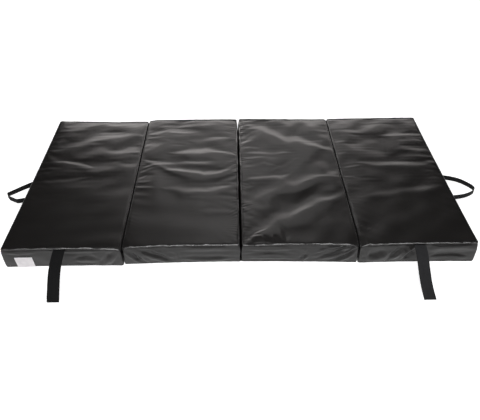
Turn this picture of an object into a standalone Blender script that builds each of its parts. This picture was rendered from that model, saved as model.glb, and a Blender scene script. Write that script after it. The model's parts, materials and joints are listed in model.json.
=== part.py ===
"""A four-panel folding crash mat, lying open on the floor.

Each panel is a foam block in a sewn cover: a crowned top, a wall that runs all round, a flat bottom and a zip
along the back. Fabric webs hinge the panels. The first and the third fold close the tops together, so their
webs sit at the top seam, and the middle fold closes the bottoms together, so its web sits at the floor. A
webbing handle is sewn to each end face, and a closing strap to each end panel's front seam.

Lengths are in metres. X runs along the mat, Y from front to back and Z up. The origin is on the floor, at the
middle of the open mat.
"""

import math

import bmesh
import bpy
import numpy as np
from mathutils import Matrix, Vector

# Mat
PANEL_COUNT = 4
MAT_LENGTH = 2.000
MAT_DEPTH = 1.000
MAT_HEIGHT = 0.100
CROWN = 0.005
CORNER_DROP = 0.003
SIDE_BULGE = 0.0025
SIDE_DRAW_IN = 0.003
CORNER_RADIUS = 0.010
COVER_THICKNESS = 0.001
FIT_GAP = 0.0003
TRIM_GAP = 0.0004

# Folds
TOP_FOLD_SEAM_GAP = 0.004
TOP_FOLD_FLOOR_GAP = 0.010
MIDDLE_FOLD_SEAM_GAP = 0.013
MIDDLE_FOLD_FLOOR_GAP = 0.005
FOLD_CLEARANCE = 0.0005
WEB_WIDTH = 0.030
WEB_SPLIT = 0.0004
WEB_SET_DOWN = 0.001
WEB_END_MARGIN = 0.014

# Handles
WEBBING_WIDTH = 0.025
WEBBING_THICKNESS = 0.0016
HANDLE_HEIGHT = 0.050
HANDLE_AXIS_OUT = 0.015
HANDLE_SPLIT = 0.0008
NECK_HEIGHT = 0.0008
NECK_LENGTH = 0.014
SHORTEST_STEP = 0.004
TAB_LENGTH = 0.034
LEFT_HANDLE_Y = -0.054
LEFT_HANDLE_SPAN = 0.129
LEFT_HANDLE_CREASES = ((0.123, -0.025), (0.101, -0.049), (0.057, -0.077))
RIGHT_HANDLE_Y = -0.061
RIGHT_HANDLE_SPAN = 0.156
RIGHT_HANDLE_REACH = 0.151
RIGHT_HANDLE_LEAN = math.radians(4.5)

# The right loop from its back root round its tip to its front root: shares of its reach and half its span
RIGHT_HANDLE_SHAPE = (
    (0.00, 1.00), (0.29, 0.90), (0.51, 0.76), (0.67, 0.59), (0.83, 0.28), (0.94, 0.01), (0.99, -0.18),
    (0.99, -0.34), (0.90, -0.54), (0.74, -0.74), (0.55, -0.90), (0.34, -1.00), (0.00, -1.05),
)

# Closing straps
STRAP_WIDTH = 0.050
LEFT_STRAP_LENGTH = 0.225
RIGHT_STRAP_LENGTH = 0.234
STRAP_THICKNESS = 0.0015
TAPE_THICKNESS = 0.0012
TAPE_EDGE = 0.0015
HOOK_TAPE_END_MARGIN = 0.012
STRAP_BELOW_SEAM = 0.003
STRAP_AXIS_OUT = 0.002
STRAP_SPLIT = 0.0006
LEFT_STRAP_OFFSET = -0.006
RIGHT_STRAP_OFFSET = 0.002
LEFT_STRAP_SLOPES = ((0.0, 5), (0.3, 18), (0.6, 37), (1.0, 46))
RIGHT_STRAP_SLOPES = ((0.0, 8), (0.3, 36), (0.6, 34), (1.0, 8))
STRAP_STEPS = 6

# Care label
LABEL_WIDTH = 0.074
LABEL_DROP = 0.057
LABEL_THICKNESS = 0.0004
LABEL_FROM_END = 0.085

# Zips
ZIP_LENGTH = 0.430
ZIP_END_MARGIN = 0.010
TAPE_WIDTH = 0.028
TAPE_SHEET = 0.0008
CHAIN_WIDTH = 0.006
CHAIN_TOP_WIDTH = 0.0042
CHAIN_HEIGHT = 0.0016
SLIDER_LENGTH = 0.011
SLIDER_WIDTH = 0.012
SLIDER_HEIGHT = 0.0035
SLIDER_FROM_END = 0.024
BRIDGE_WIDTH = 0.002
BRIDGE_WALL = 0.0009
BRIDGE_ROOT = 0.0005
PULL_LENGTH = 0.026
PULL_WIDTH = 0.008
PULL_THICKNESS = 0.0014
PULL_BAR = 0.0012
PULL_WINDOW_WIDTH = 0.004

# Fineness of the soft forms
CORNER_STEPS = 3
X_SIDE_STEPS = 4
Y_SIDE_STEPS = 6
WALL_STEPS = 4
CROWN_RINGS = (1.0, 0.93, 0.80, 0.60, 0.35)

PANEL_PITCH = MAT_LENGTH / PANEL_COUNT
FRONT = -MAT_DEPTH / 2
BACK = MAT_DEPTH / 2
WALL_BOTTOM = COVER_THICKNESS + FIT_GAP
WALL_TOP = MAT_HEIGHT - COVER_THICKNESS - FIT_GAP
WALL_LEVELS = [WALL_BOTTOM + (WALL_TOP - WALL_BOTTOM) * i / WALL_STEPS for i in range(WALL_STEPS + 1)]

MATERIALS = {
    "cover_vinyl": ((0.035, 0.034, 0.034), 0.42, 0.0),
    "foam": ((0.55, 0.55, 0.53), 0.95, 0.0),
    "webbing": ((0.018, 0.018, 0.019), 0.85, 0.0),
    "hook_tape": ((0.020, 0.020, 0.020), 0.90, 0.0),
    "loop_tape": ((0.045, 0.045, 0.048), 0.95, 0.0),
    "label_satin": ((0.80, 0.79, 0.80), 0.60, 0.0),
    "zip_tape": ((0.020, 0.020, 0.021), 0.80, 0.0),
    "zip_metal": ((0.30, 0.30, 0.31), 0.35, 1.0),
}


# Scene and objects
def clear_scene():
    for old in list(bpy.data.objects):
        bpy.data.objects.remove(old, do_unlink=True)


def material(name):
    found = bpy.data.materials.get(name)
    if found:
        return found
    colour, roughness, metallic = MATERIALS[name]
    made = bpy.data.materials.new(name)
    made.use_nodes = True
    shader = made.node_tree.nodes["Principled BSDF"]
    shader.inputs["Base Color"].default_value = (*colour, 1.0)
    shader.inputs["Roughness"].default_value = roughness
    shader.inputs["Metallic"].default_value = metallic
    return made


def add_object(name, bm, finish):
    bmesh.ops.recalc_face_normals(bm, faces=bm.faces)
    mesh = bpy.data.meshes.new(name)
    bm.to_mesh(mesh)
    bm.free()
    mesh.materials.append(material(finish))
    mesh.shade_smooth()
    mesh.set_sharp_from_angle(angle=math.radians(35))
    made = bpy.data.objects.new(name, mesh)
    bpy.context.scene.collection.objects.link(made)
    return made


def add_axis(name, place, parent=None):
    """An empty on a joint's axis. What it carries is attached to it."""
    print(name, [round(value, 5) for value in place])
    empty = bpy.data.objects.new(name, None)
    empty.empty_display_size = 0.05
    bpy.context.scene.collection.objects.link(empty)
    empty.location = place
    if parent:
        attach(empty, parent)
    return empty


def attach(child, parent):
    """Parents child without moving it."""
    bpy.context.view_layer.update()
    child.parent = parent
    child.matrix_parent_inverse = Matrix.Translation(-parent.matrix_world.translation)


def combine(target, helper, operation):
    """Cuts the helper out of the target or joins it on, and keeps the helper as a hidden guide."""
    helper.hide_render = True
    helper.display_type = "WIRE"
    change = target.modifiers.new(helper.name, "BOOLEAN")
    change.operation = operation
    change.solver = "EXACT"
    change.object = helper


# Solids from rings and profiles
def joined_rings(bm, rings):
    """Adds the rings' points and the faces between each ring and the next. Returns the rings' vertices."""
    made = [[bm.verts.new(point) for point in ring] for ring in rings]
    for low, high in zip(made, made[1:]):
        for i in range(len(low)):
            j = (i + 1) % len(low)
            bm.faces.new((low[i], low[j], high[j], high[i]))
    return made


def close_with_point(bm, ring, point):
    tip = bm.verts.new(point)
    for i in range(len(ring)):
        bm.faces.new((ring[i], ring[(i + 1) % len(ring)], tip))


def swept_solid(name, rings, finish):
    """A solid through rings of points, closed by a flat face at each end."""
    bm = bmesh.new()
    made = joined_rings(bm, rings)
    bm.faces.new(made[0])
    bm.faces.new(made[-1])
    return add_object(name, bm, finish)


def extruded_along_x(name, profile, low, high, finish):
    return swept_solid(name, [[(x, y, z) for y, z in profile] for x in (low, high)], finish)


def extruded_along_y(name, profile, low, high, finish):
    return swept_solid(name, [[(x, y, z) for x, z in profile] for y in (low, high)], finish)


def block(name, low, high, finish):
    profile = [(low[1], low[2]), (high[1], low[2]), (high[1], high[2]), (low[1], high[2])]
    return extruded_along_x(name, profile, low[0], high[0], finish)


# Shape of a panel
def line_x(line):
    """Where a fold line stands. Lines 0 and PANEL_COUNT are the mat's two ends."""
    return (line - PANEL_COUNT / 2) * PANEL_PITCH


def panel_middle(panel):
    return (line_x(panel) + line_x(panel + 1)) / 2


def folds_tops_together(line):
    return line % 2 == 1


def half_gap(line, height):
    """Half the slit at a fold line at a height, and nothing at the mat's ends."""
    if line in (0, PANEL_COUNT):
        return 0.0
    if folds_tops_together(line):
        at_floor, at_seam = TOP_FOLD_FLOOR_GAP, TOP_FOLD_SEAM_GAP
    else:
        at_floor, at_seam = MIDDLE_FOLD_FLOOR_GAP, MIDDLE_FOLD_SEAM_GAP
    return (at_floor + (at_seam - at_floor) * height / MAT_HEIGHT) / 2


def bulge(height):
    """How far a free wall swells out at a height, in the flats of the wall's own levels."""
    rises = [(level - WALL_BOTTOM) / (WALL_TOP - WALL_BOTTOM) for level in WALL_LEVELS]
    return float(np.interp(height, WALL_LEVELS, [4 * SIDE_BULGE * r * (1 - r) for r in rises]))


def draw_in(share):
    """How far a drawn-in side stands back, for a share of -1 to 1 along it."""
    return SIDE_DRAW_IN * (1 - share * share)


def walls_at(panel, height, inset):
    """A panel's left, right, front and back at a height, each moved inwards by inset."""
    swell = bulge(height)
    left = line_x(panel) + half_gap(panel, height) + inset
    right = line_x(panel + 1) - half_gap(panel + 1, height) - inset
    if panel == 0:
        left -= swell
    if panel == PANEL_COUNT - 1:
        right += swell
    return left, right, FRONT - swell + inset, BACK + swell - inset


def outline(panel, height, inset=0.0):
    """Points (x, y, corner) round a panel at a height. corner is 1 at a corner and falls to 0 at mid-side.

    The front side and the mat's two end sides are drawn in between their corners. The back is held straight
    by its zip, and the fold sides by their webs.
    """
    left, right, front, back = walls_at(panel, height, inset)
    radius = CORNER_RADIUS - inset
    corners = ((left, front, 180), (right, front, 270), (right, back, 0), (left, back, 90))
    steps = (X_SIDE_STEPS, Y_SIDE_STEPS, X_SIDE_STEPS, Y_SIDE_STEPS)
    inwards = ((0, 1), (-1, 0), (0, -1), (1, 0))
    drawn = (True, panel == PANEL_COUNT - 1, False, panel == 0)
    arcs = []
    for x, y, start in corners:
        middle = Vector((x + (radius if x == left else -radius), y + (radius if y == front else -radius)))
        turns = [math.radians(start + 90 * i / CORNER_STEPS) for i in range(CORNER_STEPS + 1)]
        arcs.append([middle + radius * Vector((math.cos(turn), math.sin(turn))) for turn in turns])
    points = []
    for side in range(4):
        points += [(p.x, p.y, 1.0) for p in arcs[side]]
        first, last = arcs[side][-1], arcs[(side + 1) % 4][0]
        for i in range(1, steps[side]):
            share = 2 * i / steps[side] - 1
            depth = draw_in(share) if drawn[side] else 0.0
            p = first.lerp(last, i / steps[side]) + depth * Vector(inwards[side])
            points.append((p.x, p.y, share**4))
    return points


def crown_rings(panel, inset, below):
    """Rings from a panel's rim to its crown, and the point in its middle, all lowered by below."""
    rim = outline(panel, MAT_HEIGHT, inset)
    middle = sum((Vector(p[:2]) for p in rim), Vector((0, 0))) / len(rim)
    rings = []
    for share in CROWN_RINGS:
        ring = []
        for x, y, corner in rim:
            at = middle.lerp(Vector((x, y)), share)
            z = MAT_HEIGHT + CROWN * (1 - share**2) - CORNER_DROP * corner * share**6 - below
            ring.append((at.x, at.y, z))
        rings.append(ring)
    return rings, (middle.x, middle.y, MAT_HEIGHT + CROWN - below)


def wall_rings(panel, inset):
    """Rings from the floor seam to the top seam, lowered at the corners as the rim is."""
    rings = []
    for step, level in enumerate(WALL_LEVELS):
        drop = CORNER_DROP * step / WALL_STEPS
        rings.append([(x, y, level - drop * corner) for x, y, corner in outline(panel, level, inset)])
    return rings


def front_face(panel, x, height):
    """The y of a panel's front wall, in the flats of its own steps."""
    left, right, front, _ = walls_at(panel, height, 0.0)
    half = (right - left) / 2 - CORNER_RADIUS
    shares = [2 * i / X_SIDE_STEPS - 1 for i in range(X_SIDE_STEPS + 1)]
    return front + float(np.interp((x - (left + right) / 2) / half, shares, [draw_in(s) for s in shares]))


def end_face(side, y, height):
    """How far an end wall stands from the mat's end line, in the flats of its own steps. side is -1 or 1."""
    half = MAT_DEPTH / 2 + bulge(height) - CORNER_RADIUS
    shares = [2 * i / Y_SIDE_STEPS - 1 for i in range(Y_SIDE_STEPS + 1)]
    return bulge(height) - float(np.interp(side * y / half, shares, [draw_in(s) for s in shares]))


def back_face(height):
    return BACK + bulge(height)


# Foam and covers
def add_foam_core(panel):
    below = COVER_THICKNESS + FIT_GAP
    crown, middle = crown_rings(panel, below, below)
    bm = bmesh.new()
    made = joined_rings(bm, wall_rings(panel, below)[:-1] + crown)
    bm.faces.new(made[0])
    close_with_point(bm, made[-1], middle)
    return add_object(f"foam_core_{panel + 1}", bm, "foam")


def add_top_cover(panel):
    outer, outer_middle = crown_rings(panel, 0.0, 0.0)
    inner, inner_middle = crown_rings(panel, 0.0, COVER_THICKNESS)
    bm = bmesh.new()
    made = joined_rings(bm, outer[::-1] + inner)
    close_with_point(bm, made[0], outer_middle)
    close_with_point(bm, made[-1], inner_middle)
    return add_object(f"top_cover_{panel + 1}", bm, "cover_vinyl")


def add_side_band(panel):
    bm = bmesh.new()
    rings = wall_rings(panel, 0.0) + wall_rings(panel, COVER_THICKNESS)[::-1]
    made = joined_rings(bm, rings)
    for i in range(len(made[0])):
        j = (i + 1) % len(made[0])
        bm.faces.new((made[-1][i], made[-1][j], made[0][j], made[0][i]))
    band = add_object(f"side_band_{panel + 1}", bm, "cover_vinyl")
    reach = ZIP_LENGTH / 2 - 2 * ZIP_END_MARGIN
    slit = block(
        f"zip_slit_{panel + 1}",
        (panel_middle(panel) - reach, BACK - TAPE_WIDTH, (MAT_HEIGHT - CHAIN_WIDTH) / 2),
        (panel_middle(panel) + reach, BACK + TAPE_WIDTH, (MAT_HEIGHT + CHAIN_WIDTH) / 2),
        "cover_vinyl",
    )
    combine(band, slit, "DIFFERENCE")
    return band, slit


def add_bottom_cover(panel):
    edge = outline(panel, 0.0)
    rings = [[(x, y, z) for x, y, _ in edge] for z in (0.0, COVER_THICKNESS)]
    return swept_solid(f"bottom_cover_{panel + 1}", rings, "cover_vinyl")


# Fold webs
def add_web_leaf(line, side):
    """One body's half of a fold's web: a flange sewn down its wall, and a lip that reaches the fold line."""
    if folds_tops_together(line):
        lip_outside = MAT_HEIGHT - CORNER_DROP - WEB_SET_DOWN
        inwards = -1
    else:
        lip_outside = FIT_GAP
        inwards = 1
    lip_inside = lip_outside + inwards * COVER_THICKNESS
    flange_end = lip_outside + inwards * WEB_WIDTH

    def beside_wall(height, thickness):
        return line_x(line) + side * (half_gap(line, height) - FIT_GAP - thickness)

    split = line_x(line) + side * WEB_SPLIT / 2
    profile = (
        (beside_wall(flange_end, 0.0), flange_end),
        (beside_wall(flange_end, COVER_THICKNESS), flange_end),
        (beside_wall(lip_inside, COVER_THICKNESS), lip_inside),
        (split, lip_inside),
        (split, lip_outside),
        (beside_wall(lip_outside, 0.0), lip_outside),
    )
    panel = line if side < 0 else line + 1
    name = f"fold_web_{line}_{line + 1}_on_panel_{panel}"
    return extruded_along_y(name, profile, FRONT + WEB_END_MARGIN, BACK - WEB_END_MARGIN, "cover_vinyl")


# Webbing handles
def webbing_solid(name, side, middle_y, path, heights, leans, finish):
    """A webbing band on edge along a path of (out, along) points, out from an end face and along Y.

    An end that is necked down to the handle's axis is cut parallel to it, so that it clears its partner.
    """
    places = [Vector(p) for p in path]
    rings = []
    for i, (place, height, lean) in enumerate(zip(places, heights, leans)):
        before = (place - places[i - 1]).normalized() if i else None
        after = (places[i + 1] - place).normalized() if i + 1 < len(places) else None
        first, second = before or after, after or before
        ahead = (first + second).normalized()
        across = Vector((ahead.y, -ahead.x))
        mitre = 1 / max(across.dot(Vector((second.y, -second.x))), 0.5)
        if height == NECK_HEIGHT:
            mitre = 1 / abs(across.y)
            across = Vector((0.0, math.copysign(1.0, across.y)))
        ring = []
        for reach, up in ((-1, -1), (1, -1), (1, 1), (-1, 1)):
            flare = up * math.sin(lean) * height / 2
            at = place + across * (reach * mitre * WEBBING_THICKNESS / 2 + flare)
            z = HANDLE_HEIGHT + up * math.cos(lean) * height / 2
            ring.append((side * (line_x(PANEL_COUNT) + at.x), middle_y + at.y, z))
        rings.append(ring)
    return swept_solid(name, rings, finish)


def left_handle_path():
    """A loop pressed flat, with a sharp crease at its tip and at its front corner."""
    half = LEFT_HANDLE_SPAN / 2
    return [(0.0, half), *LEFT_HANDLE_CREASES, (0.0, -half)]


def right_handle_path():
    """A rounded loop whose tip leans towards the front."""
    return [(RIGHT_HANDLE_REACH * out, RIGHT_HANDLE_SPAN / 2 * along) for out, along in RIGHT_HANDLE_SHAPE]


def path_beyond(path, out):
    """The stretch of a path that lies further out than a line, with its two ends on that line."""
    kept = []
    for a, b in zip(path, path[1:]):
        crossing = (a[0] - out) * (b[0] - out) < 0
        at = (out - a[0]) / (b[0] - a[0]) if crossing else 0.0
        if a[0] > out:
            kept.append(a)
        if crossing:
            kept.append((out, a[1] + (b[1] - a[1]) * at))
    return kept


def necked(path):
    """A path with a point one neck length in from each end, and each point's height, low at the two ends."""
    points = [Vector(p) for p in path]
    first, last = points[0], points[-1]
    clear = NECK_LENGTH + SHORTEST_STEP
    kept = [p for p in points[1:-1] if min((p - first).length, (p - last).length) > clear]
    near = first + (points[1] - first).normalized() * NECK_LENGTH
    far = last + (points[-2] - last).normalized() * NECK_LENGTH
    heights = [NECK_HEIGHT, WEBBING_WIDTH, *[WEBBING_WIDTH for _ in kept], WEBBING_WIDTH, NECK_HEIGHT]
    return [first, near, *kept, far, last], heights


def add_handle(name, side, middle_y, path, lean):
    """A handle's moving loop, necked at its axis, and its two sewn tabs, which stay on the end face."""
    loop, heights = necked(path_beyond(path, HANDLE_AXIS_OUT + HANDLE_SPLIT / 2))
    last = len(loop) - 1
    leans = [lean * math.sin(math.pi * i / last) ** 2 for i in range(last + 1)]
    handle = webbing_solid(name, side, middle_y, loop, heights, leans, "webbing")
    tabs = []
    for root, word, away in ((path[0], "back", 1), (path[-1], "front", -1)):
        seat_y = root[1] + away * (TAB_LENGTH / 2 + WEBBING_THICKNESS)
        seat = end_face(side, middle_y + seat_y, HANDLE_HEIGHT) + TRIM_GAP + WEBBING_THICKNESS / 2
        leg = path_at(path if away > 0 else path[::-1], HANDLE_AXIS_OUT - HANDLE_SPLIT / 2)
        turn = (seat + WEBBING_THICKNESS, root[1] + away * WEBBING_THICKNESS)
        route = [(seat, root[1] + away * TAB_LENGTH), (seat, turn[1] + away * WEBBING_THICKNESS), turn, leg]
        tall = [WEBBING_WIDTH, WEBBING_WIDTH, WEBBING_WIDTH, NECK_HEIGHT]
        tab_name = f"{name}_tab_{word}"
        tabs.append(webbing_solid(tab_name, side, middle_y, route, tall, [0.0] * 4, "webbing"))
    return handle, tabs


def path_at(path, out):
    """The first point of a path that is out from the face by a length."""
    for a, b in zip(path, path[1:]):
        if a[0] <= out < b[0]:
            share = (out - a[0]) / (b[0] - a[0])
            return (out, a[1] + (b[1] - a[1]) * share)
    raise ValueError("the handle doesn't reach its axis")


# Closing straps
def strap_line(slopes, length):
    """Points (out, z) of a strap's upper side from its axis to its tip, which comes down to the floor.

    slopes gives the strap's fall in degrees at shares of its length. They are scaled together until the tip
    meets the floor, so that a taller or lower mat bends the same strap more or less.
    """
    steps = 2 * STRAP_STEPS
    start = MAT_HEIGHT - STRAP_BELOW_SEAM
    thickness = STRAP_THICKNESS + TAPE_THICKNESS + FIT_GAP

    def drawn(scale):
        out, z, points = STRAP_AXIS_OUT, start, [(STRAP_AXIS_OUT, start)]
        for i in range(steps):
            fall = math.radians(scale * float(np.interp((i + 0.5) / steps, *zip(*slopes))))
            out += math.cos(fall) * length / steps
            z -= math.sin(fall) * length / steps
            points.append((out, z))
        return points, z - math.cos(fall) * thickness

    low, high = 0.0, 2.0
    for _ in range(40):
        scale = (low + high) / 2
        low, high = (scale, high) if drawn(scale)[1] > FIT_GAP else (low, scale)
    return drawn(low)[0]


def strap_piece(name, line, middle_x, width, top, thickness, start, end, finish):
    """A flat strip along the strap's line, from start to end in metres, lying top below the line."""
    points = [Vector(p) for p in line]
    step = (points[1] - points[0]).length
    between = [i for i in range(len(points)) if start + SHORTEST_STEP < i * step < end - SHORTEST_STEP]
    rings = []
    for share in [start / step, *between, end / step]:
        i = min(int(share), len(points) - 2)
        at = points[i].lerp(points[i + 1], share - i)
        before = points[i - 1] if share in between else points[i]
        ahead = (points[i + 1] - before).normalized()
        below = Vector((ahead.y, -ahead.x))
        upper, lower = at + below * top, at + below * (top + thickness)
        ring = []
        for place, side in ((upper, -1), (upper, 1), (lower, 1), (lower, -1)):
            ring.append((middle_x + side * width / 2, FRONT - place.x, place.y))
        rings.append(ring)
    return swept_solid(name, rings, finish)


def strap_middle_x(panel):
    return panel_middle(panel) + (LEFT_STRAP_OFFSET if panel == 0 else RIGHT_STRAP_OFFSET)


def add_strap_tab(name, panel, thickness):
    """The sewn end that stands out of the front seam as far as the strap's axis."""
    x, top = strap_middle_x(panel), MAT_HEIGHT - STRAP_BELOW_SEAM
    half = STRAP_WIDTH / 2
    wall = min(front_face(panel, edge, top) for edge in (x - half, x, x + half))
    low = (x - half, FRONT - STRAP_AXIS_OUT + STRAP_SPLIT / 2, top - thickness)
    return block(name, low, (x + half, wall - TRIM_GAP, top), "webbing")


def add_left_strap():
    """The left strap is bare webbing above, with hook tape sewn under its outer half."""
    line = strap_line(LEFT_STRAP_SLOPES, LEFT_STRAP_LENGTH)
    x, half = strap_middle_x(0), LEFT_STRAP_LENGTH / 2
    near, far = half - STRAP_SPLIT / 2, half + STRAP_SPLIT / 2
    tape_width = STRAP_WIDTH - 2 * TAPE_EDGE
    tape_end = LEFT_STRAP_LENGTH - HOOK_TAPE_END_MARGIN
    under = STRAP_THICKNESS + FIT_GAP
    tab = add_strap_tab("strap_left_tab", 0, STRAP_THICKNESS)
    root = strap_piece(
        "strap_left_root", line, x, STRAP_WIDTH, 0.0, STRAP_THICKNESS, STRAP_SPLIT / 2, near, "webbing"
    )
    end = strap_piece(
        "strap_left_end", line, x, STRAP_WIDTH, 0.0, STRAP_THICKNESS, far, LEFT_STRAP_LENGTH, "webbing"
    )
    hooks = strap_piece(
        "strap_left_hook_tape", line, x, tape_width, under, TAPE_THICKNESS, far, tape_end, "hook_tape"
    )
    return line, tab, [root], [end, hooks]


def add_right_strap():
    """The right strap carries loop tape on its upper side, over its whole length."""
    line = strap_line(RIGHT_STRAP_SLOPES, RIGHT_STRAP_LENGTH)
    x, half = strap_middle_x(PANEL_COUNT - 1), RIGHT_STRAP_LENGTH / 2
    near, far = half - STRAP_SPLIT / 2, half + STRAP_SPLIT / 2
    under = TAPE_THICKNESS + FIT_GAP
    tab = add_strap_tab("strap_right_tab", PANEL_COUNT - 1, under + STRAP_THICKNESS)
    parts = []
    for word, start, end in (("root", STRAP_SPLIT / 2, near), ("end", far, RIGHT_STRAP_LENGTH)):
        webbing = strap_piece(
            f"strap_right_{word}", line, x, STRAP_WIDTH, under, STRAP_THICKNESS, start, end, "webbing"
        )
        loops = strap_piece(
            f"strap_right_loop_tape_{word}",
            line,
            x,
            STRAP_WIDTH,
            0.0,
            TAPE_THICKNESS,
            start,
            end,
            "loop_tape",
        )
        parts.append([webbing, loops])
    return line, tab, *parts


# Label and zips
def add_care_label():
    """A blank label that hangs down the front wall near the mat's left end."""
    middle = line_x(0) + LABEL_FROM_END
    top = FIT_GAP + TRIM_GAP + LABEL_DROP
    levels = [FIT_GAP + TRIM_GAP] + [z for z in WALL_LEVELS if FIT_GAP + 0.004 < z < top - 0.004] + [top]
    rings = []
    for z in levels:
        left, right = middle - LABEL_WIDTH / 2, middle + LABEL_WIDTH / 2
        inner = [(x, front_face(0, x, z) - TRIM_GAP, z) for x in (left, middle, right)]
        outer = [(x, y - LABEL_THICKNESS, z) for x, y, z in inner[::-1]]
        rings.append(inner + outer)
    return swept_solid("care_label", rings, "label_satin")


def zip_seat():
    """The y of the zip tape's outer side, where the chain stands."""
    return back_face(MAT_HEIGHT / 2) + TRIM_GAP + TAPE_SHEET


def add_zip(panel):
    """A panel's zip: its tape, sewn over the slit in the wall, and the closed chain along its middle."""
    middle, half_tape, half_chain = MAT_HEIGHT / 2, TAPE_WIDTH / 2, CHAIN_WIDTH / 2
    low, high = middle - half_tape, middle + half_tape
    sheet = TRIM_GAP + TAPE_SHEET
    profile = [(back_face(z) + TRIM_GAP, z) for z in (high, middle, low)]
    profile += [(back_face(low) + sheet, low)]
    profile += [(back_face(middle - half_chain) + sheet, middle - half_chain)]
    profile += [(zip_seat() + CHAIN_HEIGHT, middle - CHAIN_TOP_WIDTH / 2)]
    profile += [(zip_seat() + CHAIN_HEIGHT, middle + CHAIN_TOP_WIDTH / 2)]
    profile += [(back_face(middle + half_chain) + sheet, middle + half_chain)]
    profile += [(back_face(high) + sheet, high)]
    x = panel_middle(panel)
    return extruded_along_x(f"zip_{panel + 1}", profile, x - ZIP_LENGTH / 2, x + ZIP_LENGTH / 2, "zip_tape")


def slider_start(panel):
    """The x of a closed zip's slider, near the right end of its chain."""
    return panel_middle(panel) + ZIP_LENGTH / 2 - SLIDER_FROM_END


def pull_axis(panel):
    """The middle of the bar that a zip's pull swings on, and the room that the bar needs round it."""
    room = math.hypot(PULL_BAR, PULL_THICKNESS) / 2 + TRIM_GAP
    return Vector((slider_start(panel), zip_seat() + FIT_GAP + SLIDER_HEIGHT + room, MAT_HEIGHT / 2)), room


def add_zip_slider(panel):
    """A slider that straddles the chain, with a bridge over it for its pull's bar."""
    x, middle, seat = slider_start(panel), MAT_HEIGHT / 2, zip_seat() + FIT_GAP
    groove = CHAIN_WIDTH / 2 + TRIM_GAP
    roof = seat + CHAIN_HEIGHT + FIT_GAP
    top, half = seat + SLIDER_HEIGHT, SLIDER_WIDTH / 2
    profile = [(seat, middle - half), (top, middle - half), (top, middle + half), (seat, middle + half)]
    profile += [(seat, middle + groove), (roof, middle + groove)]
    profile += [(roof, middle - groove), (seat, middle - groove)]
    slider = extruded_along_x(
        f"zip_slider_{panel + 1}", profile, x - SLIDER_LENGTH / 2, x + SLIDER_LENGTH / 2, "zip_metal"
    )
    axis, room = pull_axis(panel)
    outer, foot = room + BRIDGE_WALL, top - BRIDGE_ROOT
    arch = [(foot, middle - outer), (axis.y + outer, middle - outer), (axis.y + outer, middle + outer)]
    arch += [(foot, middle + outer), (foot, middle + room), (axis.y + room, middle + room)]
    arch += [(axis.y + room, middle - room), (foot, middle - room)]
    bridge = extruded_along_x(
        f"zip_bridge_{panel + 1}", arch, x - BRIDGE_WIDTH / 2, x + BRIDGE_WIDTH / 2, "zip_metal"
    )
    combine(slider, bridge, "UNION")
    return [slider, bridge]


def add_zip_pull(panel):
    """A pull plate whose top bar turns under the slider's bridge, with a window that clears the bridge."""
    axis, room = pull_axis(panel)
    half, top = PULL_THICKNESS / 2, axis.z + PULL_BAR / 2
    pull = block(
        f"zip_pull_{panel + 1}",
        (axis.x - PULL_WIDTH / 2, axis.y - half, top - PULL_LENGTH),
        (axis.x + PULL_WIDTH / 2, axis.y + half, top),
        "zip_metal",
    )
    clear_of_bridge = math.hypot(room + BRIDGE_WALL, room + BRIDGE_WALL) + TRIM_GAP
    window = block(
        f"zip_pull_window_{panel + 1}",
        (axis.x - PULL_WINDOW_WIDTH / 2, axis.y - PULL_THICKNESS, axis.z - clear_of_bridge),
        (axis.x + PULL_WINDOW_WIDTH / 2, axis.y + PULL_THICKNESS, axis.z - PULL_BAR / 2),
        "zip_metal",
    )
    combine(pull, window, "DIFFERENCE")
    return [pull, window]


# Bodies and their axes
def fold_axis(line):
    """The point on a fold's axis at the middle of the mat's depth."""
    if folds_tops_together(line):
        return Vector((line_x(line), 0.0, MAT_HEIGHT + CROWN + FOLD_CLEARANCE))
    return Vector((line_x(line), 0.0, -FOLD_CLEARANCE))


def add_panel(panel):
    band, slit = add_side_band(panel)
    return [add_foam_core(panel), add_top_cover(panel), band, slit, add_bottom_cover(panel), add_zip(panel)]


def attach_all(children, parent):
    for child in children:
        attach(child, parent)


def add_strap_bodies(name, panel, carrier, made):
    line, tab, root, end = made
    attach(tab, carrier)
    x = strap_middle_x(panel)
    middle = line[STRAP_STEPS]
    root_axis = add_axis(f"{name}_axis", (x, FRONT - line[0][0], line[0][1]), carrier)
    end_axis = add_axis(f"{name}_bend_axis", (x, FRONT - middle[0], middle[1]), root_axis)
    attach_all(root, root_axis)
    attach_all(end, end_axis)


def add_handle_body(name, side, middle_y, carrier, path, lean):
    handle, tabs = add_handle(name, side, middle_y, path, lean)
    attach_all(tabs, carrier)
    place = (side * (line_x(PANEL_COUNT) + HANDLE_AXIS_OUT), middle_y, HANDLE_HEIGHT)
    attach(handle, add_axis(f"{name}_axis", place, carrier))


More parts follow.
